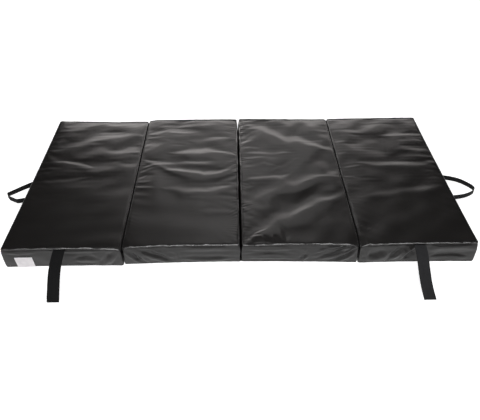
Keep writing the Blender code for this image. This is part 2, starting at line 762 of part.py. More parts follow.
def main():
    clear_scene()
    carriers = []
    for panel in range(PANEL_COUNT):
        place = fold_axis(panel) if panel else Vector((panel_middle(0), 0.0, 0.0))
        carrier = add_axis(f"panel_{panel + 1}_axis", place, carriers[-1] if carriers else None)
        carriers.append(carrier)
        attach_all(add_panel(panel), carrier)
        slider_place = (slider_start(panel), zip_seat(), MAT_HEIGHT / 2)
        slider_axis = add_axis(f"zip_slider_{panel + 1}_axis", slider_place, carrier)
        attach_all(add_zip_slider(panel), slider_axis)
        pull_hinge = add_axis(f"zip_pull_{panel + 1}_axis", pull_axis(panel)[0], slider_axis)
        attach_all(add_zip_pull(panel), pull_hinge)
    for line in range(1, PANEL_COUNT):
        attach(add_web_leaf(line, -1), carriers[line - 1])
        attach(add_web_leaf(line, 1), carriers[line])
    add_handle_body("handle_left", -1, LEFT_HANDLE_Y, carriers[0], left_handle_path(), 0.0)
    add_handle_body("handle_right", 1, RIGHT_HANDLE_Y, carriers[-1], right_handle_path(), RIGHT_HANDLE_LEAN)
    add_strap_bodies("strap_left", 0, carriers[0], add_left_strap())
    add_strap_bodies("strap_right", PANEL_COUNT - 1, carriers[-1], add_right_strap())
    attach(add_care_label(), carriers[0])


main()
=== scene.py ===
"""The looks of a four-panel folding crash mat: slack coated covers over foam, rolled seams, webbing and zips.

Lengths are in metres. X runs along the mat, Y from front to back and Z up. A place on a panel's top is
(across, back): how far it is from the panel's left side and from its front side. A place on a panel's front
face is (across, up).
"""

import functools
import json
import math

import bmesh
import bpy
import numpy as np
from bpy.props import FloatProperty, FloatVectorProperty, IntProperty, PointerProperty
from mathutils import Matrix, Vector


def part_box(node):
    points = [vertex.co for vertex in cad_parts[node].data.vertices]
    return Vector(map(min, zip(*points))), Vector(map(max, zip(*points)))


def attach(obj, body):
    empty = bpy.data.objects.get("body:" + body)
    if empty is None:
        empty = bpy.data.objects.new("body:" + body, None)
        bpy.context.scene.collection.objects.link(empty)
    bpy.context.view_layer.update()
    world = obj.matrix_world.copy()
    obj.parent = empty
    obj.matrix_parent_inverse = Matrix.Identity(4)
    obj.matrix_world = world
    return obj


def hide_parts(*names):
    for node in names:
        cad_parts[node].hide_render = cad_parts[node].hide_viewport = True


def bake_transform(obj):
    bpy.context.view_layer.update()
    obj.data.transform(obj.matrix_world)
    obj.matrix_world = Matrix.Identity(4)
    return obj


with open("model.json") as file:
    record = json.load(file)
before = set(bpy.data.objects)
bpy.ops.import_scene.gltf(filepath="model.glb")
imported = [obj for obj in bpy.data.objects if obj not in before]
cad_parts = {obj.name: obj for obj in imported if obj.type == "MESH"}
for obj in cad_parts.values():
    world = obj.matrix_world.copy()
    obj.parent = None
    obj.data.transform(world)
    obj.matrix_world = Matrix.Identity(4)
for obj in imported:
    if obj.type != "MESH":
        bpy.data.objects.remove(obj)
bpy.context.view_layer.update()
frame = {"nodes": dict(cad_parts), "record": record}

bl_info = {
    "name": "Folding crash mat",
    "version": (1, 0, 0),
    "blender": (4, 5, 0),
    "location": "3D View > Sidebar > Crash mat",
    "description": "Dresses the packed frame of a folding crash mat",
    "category": "Object",
}

PANELS = (1, 2, 3, 4)
FOLDS = ((1, 2), (2, 3), (3, 4))
JOINTS = {joint["name"]: joint for joint in frame["record"]["behaviour"]["joints"]}
LEFT_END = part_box("bottom_cover_1")[0].x
RIGHT_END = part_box("bottom_cover_4")[1].x
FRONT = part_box("bottom_cover_1")[0].y
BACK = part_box("bottom_cover_1")[1].y
FOLD_LINES = (LEFT_END, *(JOINTS[f"fold_{a}_{b}"]["pos_m"][0] for a, b in FOLDS), RIGHT_END)
PITCH = FOLD_LINES[1] - FOLD_LINES[0]
DEPTH = BACK - FRONT

# Fold lines are numbered from 0, the mat's left end, to 4, its right end. Folds 1 and 3 close at their top
CLOSED_FOLDS = (1, 3)
MIDDLE_FOLD = 2

# Seams and walls
SEAM_ROWS = (0.0, 0.0015, 0.003, 0.005, 0.008, 0.012)
STITCH_ROW = 3
CORNER_RADIUS = 0.008
RIM_HEIGHT = 0.0988
SOFT_CEILING = 0.1030
CEILING_ROOM = 0.0022
FLOOR_RIM_HEIGHT = 0.0022
SOLE_HEIGHT = 0.0004
SOLE_INSET = 0.0015
SIDE_BULGE = 0.0030
FRONT_DRAW_IN = 0.003
DRAW_IN_POWER = 3
FRONT_SHIFT_POWER = 6
CROWN_POWER = 4
GROOVE_DEPTH = 0.0009
WALL_GROOVE_DEPTH = 0.0018
GROOVE_WIDTH = 0.0022
BACK_BULGE_SHARE = 0.4
SOLE_WAVE_HEIGHT = 0.0004
SOLE_WAVE_REACH = 0.03

# The gap between two panels' walls: its width at the floor and at the seam, and how late it widens on the way
# up. It stops widening a little above the seam
CLOSED_FOLD_GAPS = (0.0028, 0.0070, 1.0)
MIDDLE_FOLD_GAPS = (0.0010, 0.0130, 4.0)
HIGHEST_SHARE = 1.05

# How far the rim stands below its plain height, at places across each panel's front and back
FRONT_RIM_DROPS = {
    1: ((0.00, 0.001), (0.05, 0.000), (0.33, 0.000), (0.40, 0.002), (0.47, 0.005), (0.50, 0.012)),
    2: ((0.00, 0.012), (0.03, 0.003), (0.08, 0.000), (0.30, -0.001), (0.50, -0.001)),
    3: ((0.00, 0.001), (0.06, 0.004), (0.12, 0.001), (0.30, 0.000), (0.46, 0.001), (0.50, 0.013)),
    4: ((0.00, 0.014), (0.03, 0.002), (0.08, 0.000), (0.40, 0.000), (0.50, -0.001)),
}
BACK_RIM_DROPS = {
    1: ((0.00, 0.001), (0.10, 0.003), (0.20, 0.006), (0.33, 0.010), (0.45, 0.008), (0.50, 0.009)),
    2: ((0.00, 0.004), (0.04, -0.001), (0.30, -0.002), (0.46, -0.002), (0.50, 0.000)),
    3: ((0.00, -0.002), (0.04, -0.003), (0.15, -0.001), (0.32, 0.003), (0.50, 0.004)),
    4: ((0.00, 0.004), (0.10, 0.001), (0.30, 0.000), (0.50, -0.001)),
}
RIM_DROP_REACH = 0.030
RIM_DROP_POWER = 1.4

# How far in from a seam the cover takes to rise: from an open seam, and from a fold that closes at its top
PILLOW_REACH = 0.012
CLOSED_FOLD_REACH = 0.050

# How far each panel's front stands back from the plain front: at the seam, left and right, then at the floor
FRONT_SHIFTS = {
    1: ((-0.001, -0.002), (-0.008, -0.008)),
    2: ((0.005, 0.009), (-0.001, 0.006)),
    3: ((0.009, 0.004), (0.006, -0.008)),
    4: ((0.001, 0.004), (-0.010, -0.010)),
}

# Folds that the photograph shows on each panel's top: points (across, back) along the slope that catches the
# light, half width and steepness
TOP_FOLDS = {
    1: (
        (((0.020, 0.690), (0.147, 0.764), (0.273, 0.828), (0.480, 0.846)), 0.038, 0.12),
        (((0.012, 0.781), (0.110, 0.796)), 0.012, 0.08),
        (((0.010, 0.742), (0.090, 0.752)), 0.012, 0.08),
        (((0.006, 0.703), (0.060, 0.716)), 0.010, 0.08),
        (((0.006, 0.596), (0.117, 0.606), (0.193, 0.597), (0.257, 0.566)), 0.013, 0.15),
        (((0.004, 0.549), (0.072, 0.557), (0.136, 0.528)), 0.012, 0.09),
        (((0.005, 0.512), (0.090, 0.516)), 0.012, 0.08),
        (((0.010, 0.449), (0.154, 0.451), (0.273, 0.487)), 0.014, 0.13),
        (((0.010, 0.938), (0.250, 0.953)), 0.012, 0.05),
        (((0.010, 0.898), (0.190, 0.912)), 0.012, 0.05),
    ),
    2: (
        (((0.010, 0.962), (0.238, 0.977), (0.479, 0.979)), 0.010, 0.05),
        (((0.010, 0.926), (0.240, 0.937), (0.488, 0.943)), 0.012, 0.05),
        (((0.010, 0.855), (0.111, 0.884)), 0.014, 0.06),
        (((0.220, 0.792), (0.490, 0.803)), 0.022, 0.07),
        (((0.170, 0.680), (0.334, 0.693), (0.492, 0.656)), 0.030, 0.15),
        (((0.010, 0.622), (0.075, 0.595), (0.183, 0.592), (0.338, 0.588), (0.492, 0.592)), 0.018, 0.14),
        (((0.100, 0.572), (0.234, 0.520), (0.326, 0.492), (0.417, 0.509), (0.497, 0.542)), 0.026, 0.23),
        (((0.004, 0.545), (0.106, 0.587)), 0.009, 0.11),
        (((0.002, 0.522), (0.090, 0.552)), 0.008, 0.11),
        (((0.002, 0.470), (0.050, 0.502)), 0.008, 0.10),
        (((0.003, 0.444), (0.075, 0.450)), 0.009, 0.09),
        (((0.004, 0.405), (0.100, 0.387)), 0.010, 0.08),
        (((0.380, 0.428), (0.496, 0.425)), 0.010, 0.10),
        (((0.160, 0.388), (0.345, 0.370), (0.496, 0.401)), 0.028, 0.14),
        (((0.250, 0.326), (0.494, 0.305)), 0.014, 0.07),
        (((0.320, 0.221), (0.496, 0.229)), 0.016, 0.09),
        (((0.003, 0.085), (0.034, 0.028)), 0.008, 0.10),
    ),
    3: (
        (((0.004, 0.998), (0.120, 0.907), (0.226, 0.825), (0.323, 0.777), (0.485, 0.702)), 0.046, 0.13),
        (((0.006, 0.756), (0.090, 0.789)), 0.010, 0.08),
        (((0.006, 0.711), (0.125, 0.718)), 0.010, 0.08),
        (((0.006, 0.666), (0.289, 0.672)), 0.012, 0.09),
        (((0.008, 0.623), (0.140, 0.630)), 0.010, 0.07),
        (((0.006, 0.553), (0.131, 0.580), (0.200, 0.550)), 0.012, 0.10),
        (((0.159, 0.512), (0.301, 0.622)), 0.012, 0.08),
        (((0.006, 0.434), (0.103, 0.473), (0.202, 0.459), (0.260, 0.510)), 0.014, 0.13),
        (((0.006, 0.268), (0.098, 0.335), (0.197, 0.383), (0.345, 0.446), (0.496, 0.505)), 0.038, 0.15),
        (((0.014, 0.022), (0.124, 0.122), (0.233, 0.197), (0.355, 0.276), (0.496, 0.341)), 0.042, 0.22),
        (((0.003, 0.006), (0.050, 0.058), (0.115, 0.112)), 0.006, 0.25),
        (((0.040, 0.020), (0.054, 0.052), (0.092, 0.056)), 0.007, 0.42),
        (((0.088, 0.060), (0.110, 0.004)), 0.006, 0.38),
        (((0.132, 0.064), (0.152, 0.004)), 0.008, 0.34),
        (((0.159, 0.132), (0.192, 0.010)), 0.012, 0.22),
        (((0.030, 0.008), (0.100, 0.010), (0.190, 0.006)), 0.005, 0.40),
        (((0.006, 0.377), (0.070, 0.398)), 0.009, 0.09),
        (((0.006, 0.228), (0.060, 0.256)), 0.009, 0.09),
        (((0.006, 0.167), (0.056, 0.182)), 0.009, 0.08),
    ),
    4: (
        (((0.270, 0.826), (0.494, 0.828)), 0.026, 0.07),
        (((0.340, 0.762), (0.494, 0.766)), 0.018, 0.06),
        (((0.330, 0.694), (0.494, 0.698)), 0.020, 0.08),
        (((0.280, 0.624), (0.496, 0.626)), 0.018, 0.08),
        (((0.110, 0.574), (0.336, 0.561), (0.496, 0.571)), 0.026, 0.11),
        (((0.080, 0.314), (0.249, 0.353), (0.346, 0.363), (0.497, 0.385)), 0.024, 0.10),
        (((0.004, 0.660), (0.060, 0.666)), 0.008, 0.09),
        (((0.004, 0.540), (0.115, 0.552)), 0.009, 0.09),
        (((0.004, 0.470), (0.100, 0.454)), 0.009, 0.09),
        (((0.004, 0.382), (0.075, 0.373)), 0.009, 0.08),
        (((0.040, 0.909), (0.430, 0.903)), 0.022, 0.04),
        (((0.030, 0.860), (0.330, 0.866)), 0.022, 0.04),
    ),
}

# Folds on the front faces: points (across, up), half width and steepness
FRONT_FOLDS = {
    1: (
        (((0.405, 0.004), (0.440, 0.045), (0.470, 0.080)), 0.008, 0.70),
        (((0.445, 0.006), (0.470, 0.040), (0.490, 0.075)), 0.006, -0.50),
        (((0.300, 0.040), (0.350, 0.050), (0.400, 0.040)), 0.010, 0.35),
        (((0.200, 0.085), (0.300, 0.077), (0.420, 0.082)), 0.006, -0.40),
        (((0.010, 0.080), (0.070, 0.072), (0.150, 0.078)), 0.005, -0.50),
        (((0.290, 0.016), (0.390, 0.012)), 0.006, 0.35),
    ),
    2: (
        (((0.004, 0.088), (0.030, 0.058), (0.078, 0.004)), 0.005, 0.80),
        (((0.035, 0.075), (0.066, 0.046), (0.105, 0.006)), 0.008, -0.60),
        (((0.060, 0.085), (0.125, 0.048), (0.205, 0.010)), 0.008, 0.62),
        (((0.105, 0.084), (0.160, 0.055), (0.222, 0.024)), 0.006, -0.45),
        (((0.165, 0.085), (0.228, 0.038)), 0.003, 0.30),
        (((0.228, 0.070), (0.240, 0.008)), 0.003, 0.50),
        (((0.250, 0.030), (0.360, 0.024), (0.470, 0.030)), 0.008, 0.50),
        (((0.250, 0.070), (0.480, 0.072)), 0.010, -0.30),
    ),
    3: (
        (((0.316, 0.016), (0.400, 0.052), (0.494, 0.094)), 0.007, 0.62),
        (((0.310, 0.050), (0.390, 0.076), (0.480, 0.096)), 0.006, -0.60),
        (((0.360, 0.008), (0.430, 0.040), (0.492, 0.086)), 0.006, -0.60),
        (((0.400, 0.004), (0.455, 0.038), (0.495, 0.082)), 0.006, 0.70),
        (((0.281, 0.090), (0.272, 0.010)), 0.003, 0.50),
        (((0.255, 0.012), (0.285, 0.045)), 0.006, 0.80),
        (((0.010, 0.072), (0.120, 0.066), (0.250, 0.074)), 0.006, -0.40),
        (((0.010, 0.044), (0.120, 0.050), (0.250, 0.040)), 0.006, 0.35),
        (((0.010, 0.020), (0.250, 0.018)), 0.006, -0.30),
    ),
    4: (
        (((0.006, 0.088), (0.024, 0.050), (0.040, 0.006)), 0.005, -0.60),
        (((0.030, 0.030), (0.080, 0.040), (0.125, 0.060)), 0.016, 0.35),
        (((0.130, 0.020), (0.165, 0.055), (0.195, 0.088)), 0.008, 0.70),
        (((0.185, 0.020), (0.205, 0.050), (0.235, 0.080)), 0.008, -0.80),
        (((0.290, 0.060), (0.490, 0.064)), 0.016, -0.35),
        (((0.290, 0.030), (0.400, 0.036), (0.488, 0.026)), 0.006, 0.35),
    ),
}


# Sizes and colours a user would change
class CrashMatSizes(bpy.types.PropertyGroup):
    """Sizes of the mat's soft detail"""

    grid_step: FloatProperty(
        name="Cover mesh step", description="Distance between a cover's points", default=0.0045, unit="LENGTH"
    )
    crown: FloatProperty(
        name="Crown", description="Height of a panel's middle above its seams", default=0.0010, unit="LENGTH"
    )
    pillow: FloatProperty(
        name="Pillow", description="How far the cover rises beside a seam", default=0.0015, unit="LENGTH"
    )
    fold_height: FloatProperty(name="Fold height", description="Scale of the cover's folds", default=1.0)
    gather: FloatProperty(
        name="Gathers", description="Height of the small gathers beside a seam", default=0.0011, unit="LENGTH"
    )
    ripple: FloatProperty(
        name="Ripples", description="Height of the slack ripples", default=0.0002, unit="LENGTH"
    )
    roll_width: FloatProperty(
        name="Seam roll", description="Half width of a rolled seam", default=0.0028, unit="LENGTH"
    )
    stitch_length: FloatProperty(
        name="Stitch", description="Length of a stitch", default=0.0032, unit="LENGTH"
    )
    stitch_pitch: FloatProperty(
        name="Stitch pitch", description="Distance between stitches", default=0.0045, unit="LENGTH"
    )
    thread: FloatProperty(name="Thread", description="Thickness of the thread", default=0.0006, unit="LENGTH")
    webbing_width: FloatProperty(
        name="Handle webbing", description="Width of a handle's webbing", default=0.026, unit="LENGTH"
    )
    webbing_thickness: FloatProperty(
        name="Webbing thickness", description="Thickness of the webbing", default=0.0016, unit="LENGTH"
    )
    strap_width: FloatProperty(
        name="Strap", description="Width of a closing strap", default=0.050, unit="LENGTH"
    )
    left_strap_length: FloatProperty(
        name="Left strap", description="Length of the left closing strap", default=0.225, unit="LENGTH"
    )
    right_strap_length: FloatProperty(
        name="Right strap", description="Length of the right closing strap", default=0.234, unit="LENGTH"
    )
    zip_tooth_pitch: FloatProperty(
        name="Zip tooth pitch", description="Distance between zip teeth", default=0.0022, unit="LENGTH"
    )
    seed: IntProperty(name="Seed", description="Seed of the slack fabric's ripples", default=7)


class CrashMatColours(bpy.types.PropertyGroup):
    """Colours of the mat"""

    cover: FloatVectorProperty(
        name="Cover", description="Coated fabric", subtype="COLOR", default=(0.0108, 0.0099, 0.0096)
    )
    # Paler than the cover: a painted highlight along the rolled seams
    seam: FloatVectorProperty(
        name="Seam", description="Fabric rolled over a seam", subtype="COLOR", default=(0.030, 0.0285, 0.0285)
    )
    webbing: FloatVectorProperty(
        name="Webbing", description="Handles and straps", subtype="COLOR", default=(0.0060, 0.0060, 0.0064)
    )
    loop_tape: FloatVectorProperty(
        name="Loop tape", description="A strap's fuzzy side", subtype="COLOR", default=(0.020, 0.020, 0.0215)
    )
    thread: FloatVectorProperty(
        name="Thread", description="Stitching", subtype="COLOR", default=(0.012, 0.012, 0.012)
    )
    label: FloatVectorProperty(
        name="Label", description="Blank label", subtype="COLOR", default=(0.92, 0.89, 0.91)
    )
    foam: FloatVectorProperty(
        name="Foam", description="Foam inside", subtype="COLOR", default=(0.55, 0.55, 0.53)
    )
    zip_metal: FloatVectorProperty(
        name="Zip metal", description="Sliders and pulls", subtype="COLOR", default=(0.22, 0.22, 0.23)
    )
    floor: FloatVectorProperty(
        name="Floor", description="Pale floor", subtype="COLOR", default=(0.86, 0.86, 0.86)
    )


def sizes():
    return bpy.context.scene.crash_mat_sizes


def colours():
    return bpy.context.scene.crash_mat_colours


# Materials
class Shader:
    """A Principled material and short calls that add nodes to it."""

    def __init__(self, name, colour, roughness, metallic=0.0, specular=0.5):
        self.material = bpy.data.materials.new(name)
        self.material.use_nodes = True
        self.tree = self.material.node_tree
        self.surface = self.tree.nodes["Principled BSDF"]
        self.surface.inputs["Base Color"].default_value = (*colour, 1.0)
        self.surface.inputs["Roughness"].default_value = roughness
        self.surface.inputs["Metallic"].default_value = metallic
        self.surface.inputs["Specular IOR Level"].default_value = specular
        self.place = self.tree.nodes.new("ShaderNodeTexCoord").outputs["Object"]

    def link(self, source, target):
        self.tree.links.new(source, target)

    def node(self, kind, **values):
        made = self.tree.nodes.new(kind)
        for key, value in values.items():
            setattr(made, key, value)
        return made

    def mapped(self, scale):
        made = self.node("ShaderNodeMapping")
        made.inputs["Scale"].default_value = scale
        self.link(self.place, made.inputs["Vector"])
        return made.outputs["Vector"]

    def texture(self, kind, output, place, inputs, **values):
        """A texture's output, read on the object itself where no other place is given."""
        made = self.node(kind, **values)
        for name, value in inputs.items():
            made.inputs[name].default_value = value
        self.link(self.place if place is None else place, made.inputs["Vector"])
        return made.outputs[output]

    def noise(self, scale, detail=3.0, roughness=0.55, place=None):
        inputs = {"Scale": scale, "Detail": detail, "Roughness": roughness}
        return self.texture("ShaderNodeTexNoise", "Fac", place, inputs)

    def cells(self, scale):
        return self.texture("ShaderNodeTexVoronoi", "Distance", None, {"Scale": scale}, feature="F1")

    def ribs(self, scale, direction, place=None):
        form = {"wave_type": "BANDS", "wave_profile": "SIN", "bands_direction": direction}
        return self.texture("ShaderNodeTexWave", "Fac", place, {"Scale": scale, "Distortion": 0.0}, **form)

    def span(self, source, low, high):
        made = self.node("ShaderNodeMapRange")
        made.inputs["To Min"].default_value = low
        made.inputs["To Max"].default_value = high
        self.link(source, made.inputs["Value"])
        return made.outputs["Result"]

    def maths(self, operation, first, second):
        made = self.node("ShaderNodeMath", operation=operation)
        for source, socket in ((first, made.inputs[0]), (second, made.inputs[1])):
            if isinstance(source, float):
                socket.default_value = source
            else:
                self.link(source, socket)
        return made.outputs["Value"]

    def bump(self, height, distance, strength, below=None):
        made = self.node("ShaderNodeBump")
        made.inputs["Strength"].default_value = strength
        made.inputs["Distance"].default_value = distance
        self.link(height, made.inputs["Height"])
        if below:
            self.link(below, made.inputs["Normal"])
        return made.outputs["Normal"]

    def set_normal(self, normal):
        self.link(normal, self.surface.inputs["Normal"])

    def set_roughness(self, factor, low, high):
        self.link(self.span(factor, low, high), self.surface.inputs["Roughness"])

    def tint(self, factor, colour, dark, light):
        """Mixes a darker and a lighter share of a colour."""
        made = self.node("ShaderNodeMix", data_type="RGBA")
        made.inputs["A"].default_value = (*scaled(colour, dark), 1.0)
        made.inputs["B"].default_value = (*scaled(colour, light), 1.0)
        self.link(factor, made.inputs["Factor"])
        self.link(made.outputs["Result"], self.surface.inputs["Base Color"])


def scaled(colour, factor):
    return tuple(channel * factor for channel in colour)


@functools.lru_cache
def cover_material():
    """Black coated fabric: a fine leather grain, small creases, soft dents and patches of wear."""
    made = Shader("coated_fabric", colours().cover, 0.36, specular=0.47)
    made.tint(made.noise(9.0, detail=4.0), colours().cover, dark=0.82, light=1.25)
    scuffs = made.noise(4.0, detail=5.0, roughness=0.65, place=made.mapped((3.0, 14.0, 14.0)))
    made.set_roughness(scuffs, 0.29, 0.41)
    grain = made.bump(made.cells(900.0), distance=0.00006, strength=0.55)
    lines = made.noise(260.0, detail=4.0, roughness=0.6)
    creases = made.bump(lines, distance=0.00010, strength=0.5, below=grain)
    made.set_normal(made.bump(made.noise(45.0), distance=0.00035, strength=0.35, below=creases))
    return made.material


@functools.lru_cache
def seam_highlight_material():
    """The same fabric where it is rolled over a seam: stretched smoother, and paler in patches, a painted
    highlight along the rolled edge.
    """
    made = Shader("rolled_fabric", colours().seam, 0.30, specular=1.0)
    # Lighter and darker patches of the paler colour: the painted highlight comes and goes along the seam
    made.tint(made.noise(38.0, detail=4.0, roughness=0.6), colours().seam, dark=0.55, light=1.7)
    made.set_roughness(made.noise(60.0, detail=4.0), 0.18, 0.42)
    made.set_normal(made.bump(made.noise(240.0), distance=0.00012, strength=0.4))
    return made.material


@functools.lru_cache
def hinge_material():
    """The cloth hinge in a fold: the cover's uncoated side, duller than its face, with its colour scaled to a
    little over a third of the cover's.
    """
    made = Shader("hinge_fabric", scaled(colours().cover, 0.35), 0.80, specular=0.15)
    weave = made.maths("ADD", made.ribs(300.0, "X"), made.ribs(300.0, "Y"))
    made.set_normal(made.bump(weave, distance=0.0002, strength=0.6))
    return made.material


@functools.lru_cache
def webbing_material():
    """Polyester webbing: ribs along its length and a plain weave across, read from the strip's own UV map."""
    made = Shader("webbing", colours().webbing, 0.80, specular=0.20)
    uv = made.node("ShaderNodeUVMap", uv_map="strip").outputs["UV"]
    ribs = made.ribs(190.0, "Y", uv)
    picks = made.ribs(260.0, "X", uv)
    weave = made.maths("ADD", ribs, made.maths("MULTIPLY", picks, 0.6))
    fuzz = made.noise(900.0, detail=2.0)
    made.tint(made.span(weave, 0.0, 0.8), colours().webbing, dark=0.6, light=1.5)
    woven = made.bump(weave, distance=0.0003, strength=0.9)
    made.set_normal(made.bump(fuzz, distance=0.00015, strength=0.4, below=woven))
    return made.material


@functools.lru_cache
def tape_material(name, hooked):
    """Hook tape has rows of small hooks, and loop tape has brushed fuzz."""
    colour = colours().webbing if hooked else colours().loop_tape
    made = Shader(name, colour, 0.85, specular=0.25)
    fuzz = made.cells(700.0) if hooked else made.noise(1100.0, roughness=0.7)
    made.tint(made.noise(60.0), colour, dark=0.75, light=1.35)
    made.set_normal(made.bump(fuzz, distance=0.0004, strength=0.8))
    if not hooked:
        made.surface.inputs["Sheen Weight"].default_value = 0.12
        made.surface.inputs["Sheen Roughness"].default_value = 0.45
    return made.material


@functools.lru_cache
def thread_material():
    made = Shader("thread", colours().thread, 0.60, specular=0.4)
    made.set_normal(made.bump(made.noise(2500.0, detail=2.0), distance=0.0001, strength=0.5))
    return made.material


@functools.lru_cache
def label_material():
    """Blank satin: a fine weave and soft creases, and no lettering."""
    made = Shader("label_satin", colours().label, 0.55)
    weave = made.maths("ADD", made.ribs(320.0, "X"), made.ribs(320.0, "Z"))
    made.tint(made.noise(70.0, detail=4.0), colours().label, dark=0.90, light=1.08)
    creases = made.bump(made.noise(55.0), distance=0.0006, strength=0.35)
    made.set_normal(made.bump(weave, distance=0.00008, strength=0.5, below=creases))
    return made.material


@functools.lru_cache
def foam_material():
    made = Shader("foam", colours().foam, 0.95, specular=0.2)
    cells = made.cells(800.0)
    made.tint(cells, colours().foam, dark=0.6, light=1.1)
    made.set_normal(made.bump(cells, distance=0.0008, strength=0.8))
    return made.material


@functools.lru_cache
def zip_tape_material():
    made = Shader("zip_tape", colours().webbing, 0.75, specular=0.3)
    weave = made.maths("ADD", made.ribs(300.0, "Z"), made.ribs(420.0, "X"))
    made.tint(made.span(weave, 0.0, 0.7), colours().webbing, dark=0.7, light=1.5)
    made.set_normal(made.bump(weave, distance=0.0002, strength=0.8))
    return made.material


@functools.lru_cache
def zip_metal_material():
    made = Shader("zip_metal", colours().zip_metal, 0.34, metallic=1.0)
    made.set_roughness(made.noise(350.0, detail=5.0, roughness=0.7), 0.25, 0.48)
    made.set_normal(made.bump(made.noise(900.0, detail=2.0), distance=0.00004, strength=0.4))
    return made.material


@functools.lru_cache
def zip_coil_material():
    made = Shader("zip_coil", scaled(colours().webbing, 1.4), 0.38, specular=0.5)
    made.set_normal(made.bump(made.noise(1400.0, detail=2.0), distance=0.00005, strength=0.4))
    return made.material


# Pieces
SHARP_ANGLE = math.radians(50)


def finish_piece(name, mesh, material):
    """An object from a mesh, in one material, smooth but for its sharp edges."""
    mesh.materials.clear()
    mesh.materials.append(material)
    mesh.validate()
    mesh.update()
    mesh.shade_smooth()
    mesh.set_sharp_from_angle(angle=SHARP_ANGLE)
    made = bpy.data.objects.new(name, mesh)
    bpy.context.scene.collection.objects.link(made)
    return made


def dress(piece, body, slot, *nodes):
    """Puts a piece on its body, in place of the CAD nodes that it stands for."""
    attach(piece, body)
    if nodes:
        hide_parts(*nodes)
    return piece


def smoothstep(value):
    """Rises smoothly from 0 to 1 as value does."""
    value = np.clip(value, 0.0, 1.0)
    return value * value * (3 - 2 * value)


def risen(start, value):
    """Rises smoothly from start, where value is 0 or less, to 1, where value is 1 or more."""
    return start + (1 - start) * smoothstep(value)


# Slack fabric: folds, gathers and ripples as height fields. A fold fades over a share of its length at each
# end, down to a share of its width and of its height
FOLD_SLOPE_SCALE = 0.607
FOLD_FADE_IN = 0.25
FOLD_FADE_OUT = 0.30
FOLD_END_WIDTH = 0.45
FOLD_END_HEIGHT = 0.2

# How far the drawn folds wander, and the taut part at a panel's front: its depth, how fast it ends, its slack
FOLD_WARP = 0.003
TAUT_DEPTH = 0.28
TAUT_END = 0.30
TAUT_SLACK = 0.15
SWELL_HEIGHT = 0.0008

# How hard each panel's left and right seams gather. The seams at the middle fold gather most
SIDE_GATHERS = {1: (0.50, 0.0), 2: (0.60, 0.9), 3: (1.0, 0.12), 4: (0.45, 0.50)}
END_GATHER = 0.35
RIM_RELIEF = 0.12
RIM_RELIEF_REACH = 0.012

# Small and large gathers: what is added to the seed, strength, distance from one to the next, and reach
SIDE_GATHER_FORMS = ((4, 1.0, 0.019, 0.022), (20, 1.1, 0.055, 0.050))

# How much the gathers' spacing, strength and lean change along a seam
GATHER_WARP = 0.9
GATHER_CHANGE = 0.5
GATHER_LEAN = 0.5
GATHER_STRONGEST = 1.6


def soft_profile(shape):
    """A rounded fold: its crest is at -1 and its valley at 1."""
    return -FOLD_SLOPE_SCALE * shape * np.exp(0.5 - 0.5 * shape**2)


def creased_profile(shape):
    """A sharper fold, with straight slopes."""
    return np.interp(shape, (-3.0, -1.0, 1.0, 3.0), (0.0, 1.0, -1.0, 0.0))


def fold_height(across, up, points, half_width, steepness, profile=soft_profile):
    """One fold: it falls away steeply over a line of points, from a crest in front to a valley behind."""
    points = np.array(points, float)
    lengths = np.hypot(*np.diff(points, axis=0).T)
    starts = np.concatenate([[0.0], np.cumsum(lengths)])
    nearest = np.full(across.shape, np.inf)
    signed = np.zeros(across.shape)
    along = np.zeros(across.shape)
    for (ax, ay), (bx, by), length, start in zip(points, points[1:], lengths, starts):
        dx, dy = (bx - ax) / length, (by - ay) / length
        run = np.clip((across - ax) * dx + (up - ay) * dy, 0.0, length)
        off_x, off_y = across - (ax + dx * run), up - (ay + dy * run)
        away = np.hypot(off_x, off_y)
        side = np.sign(dx * off_y - dy * off_x)
        closer = away < nearest
        nearest = np.where(closer, away, nearest)
        signed = np.where(closer, away * side, signed)
        along = np.where(closer, start + run, along)
    share = along / starts[-1]
    ends = smoothstep(share / FOLD_FADE_IN) * smoothstep((1 - share) / FOLD_FADE_OUT)
    reach = half_width * (FOLD_END_WIDTH + (1 - FOLD_END_WIDTH) * ends)
    height = steepness * half_width * (FOLD_END_HEIGHT + (1 - FOLD_END_HEIGHT) * ends)
    return height * profile(signed / reach)


def waves(across, up, seed, count, shortest, longest, stretch=1.0):
    """Smooth noise from count sine waves, drawn out along the first axis by stretch."""
    draw = np.random.default_rng(seed)
    total = np.zeros(across.shape)
    for _ in range(count):
        length = math.exp(draw.uniform(math.log(shortest), math.log(longest)))
        turn, phase = draw.uniform(0, math.pi), draw.uniform(0, 2 * math.pi)
        kx, ky = math.cos(turn) / (length * stretch), math.sin(turn) / length
        total += np.sin(2 * math.pi * (kx * across + ky * up) + phase)
    return total / math.sqrt(count / 2)


def gathers(along, away, seed, pitch, reach):
    """Small puckers that run square to a seam and die out away from it."""
    level = np.zeros_like(along)
    warp = GATHER_WARP * waves(along, level, seed, 6, 5 * pitch, 14 * pitch)
    strength = 0.5 + GATHER_CHANGE * waves(along, level, seed + 1, 5, 4 * pitch, 20 * pitch)
    lean = GATHER_LEAN * waves(along, level, seed + 2, 4, 8 * pitch, 30 * pitch)
    stripes = np.sin(2 * math.pi * (along + lean * away) / pitch + warp)
    return np.clip(strength, 0.0, GATHER_STRONGEST) * stripes * np.exp(-away / reach)


def seam_distance(across, back):
    return np.minimum(np.minimum(across, PITCH - across), np.minimum(back, DEPTH - back))


def rim_drop(panel, across, back):
    """How far the top stands below its plain height, near the panel's front and back."""
    total = np.zeros(across.shape)
    for table, away in ((FRONT_RIM_DROPS, back), (BACK_RIM_DROPS, DEPTH - back)):
        fade = np.exp(-((away / RIM_DROP_REACH) ** RIM_DROP_POWER))
        total += np.interp(across, *zip(*table[panel])) * fade
    return total


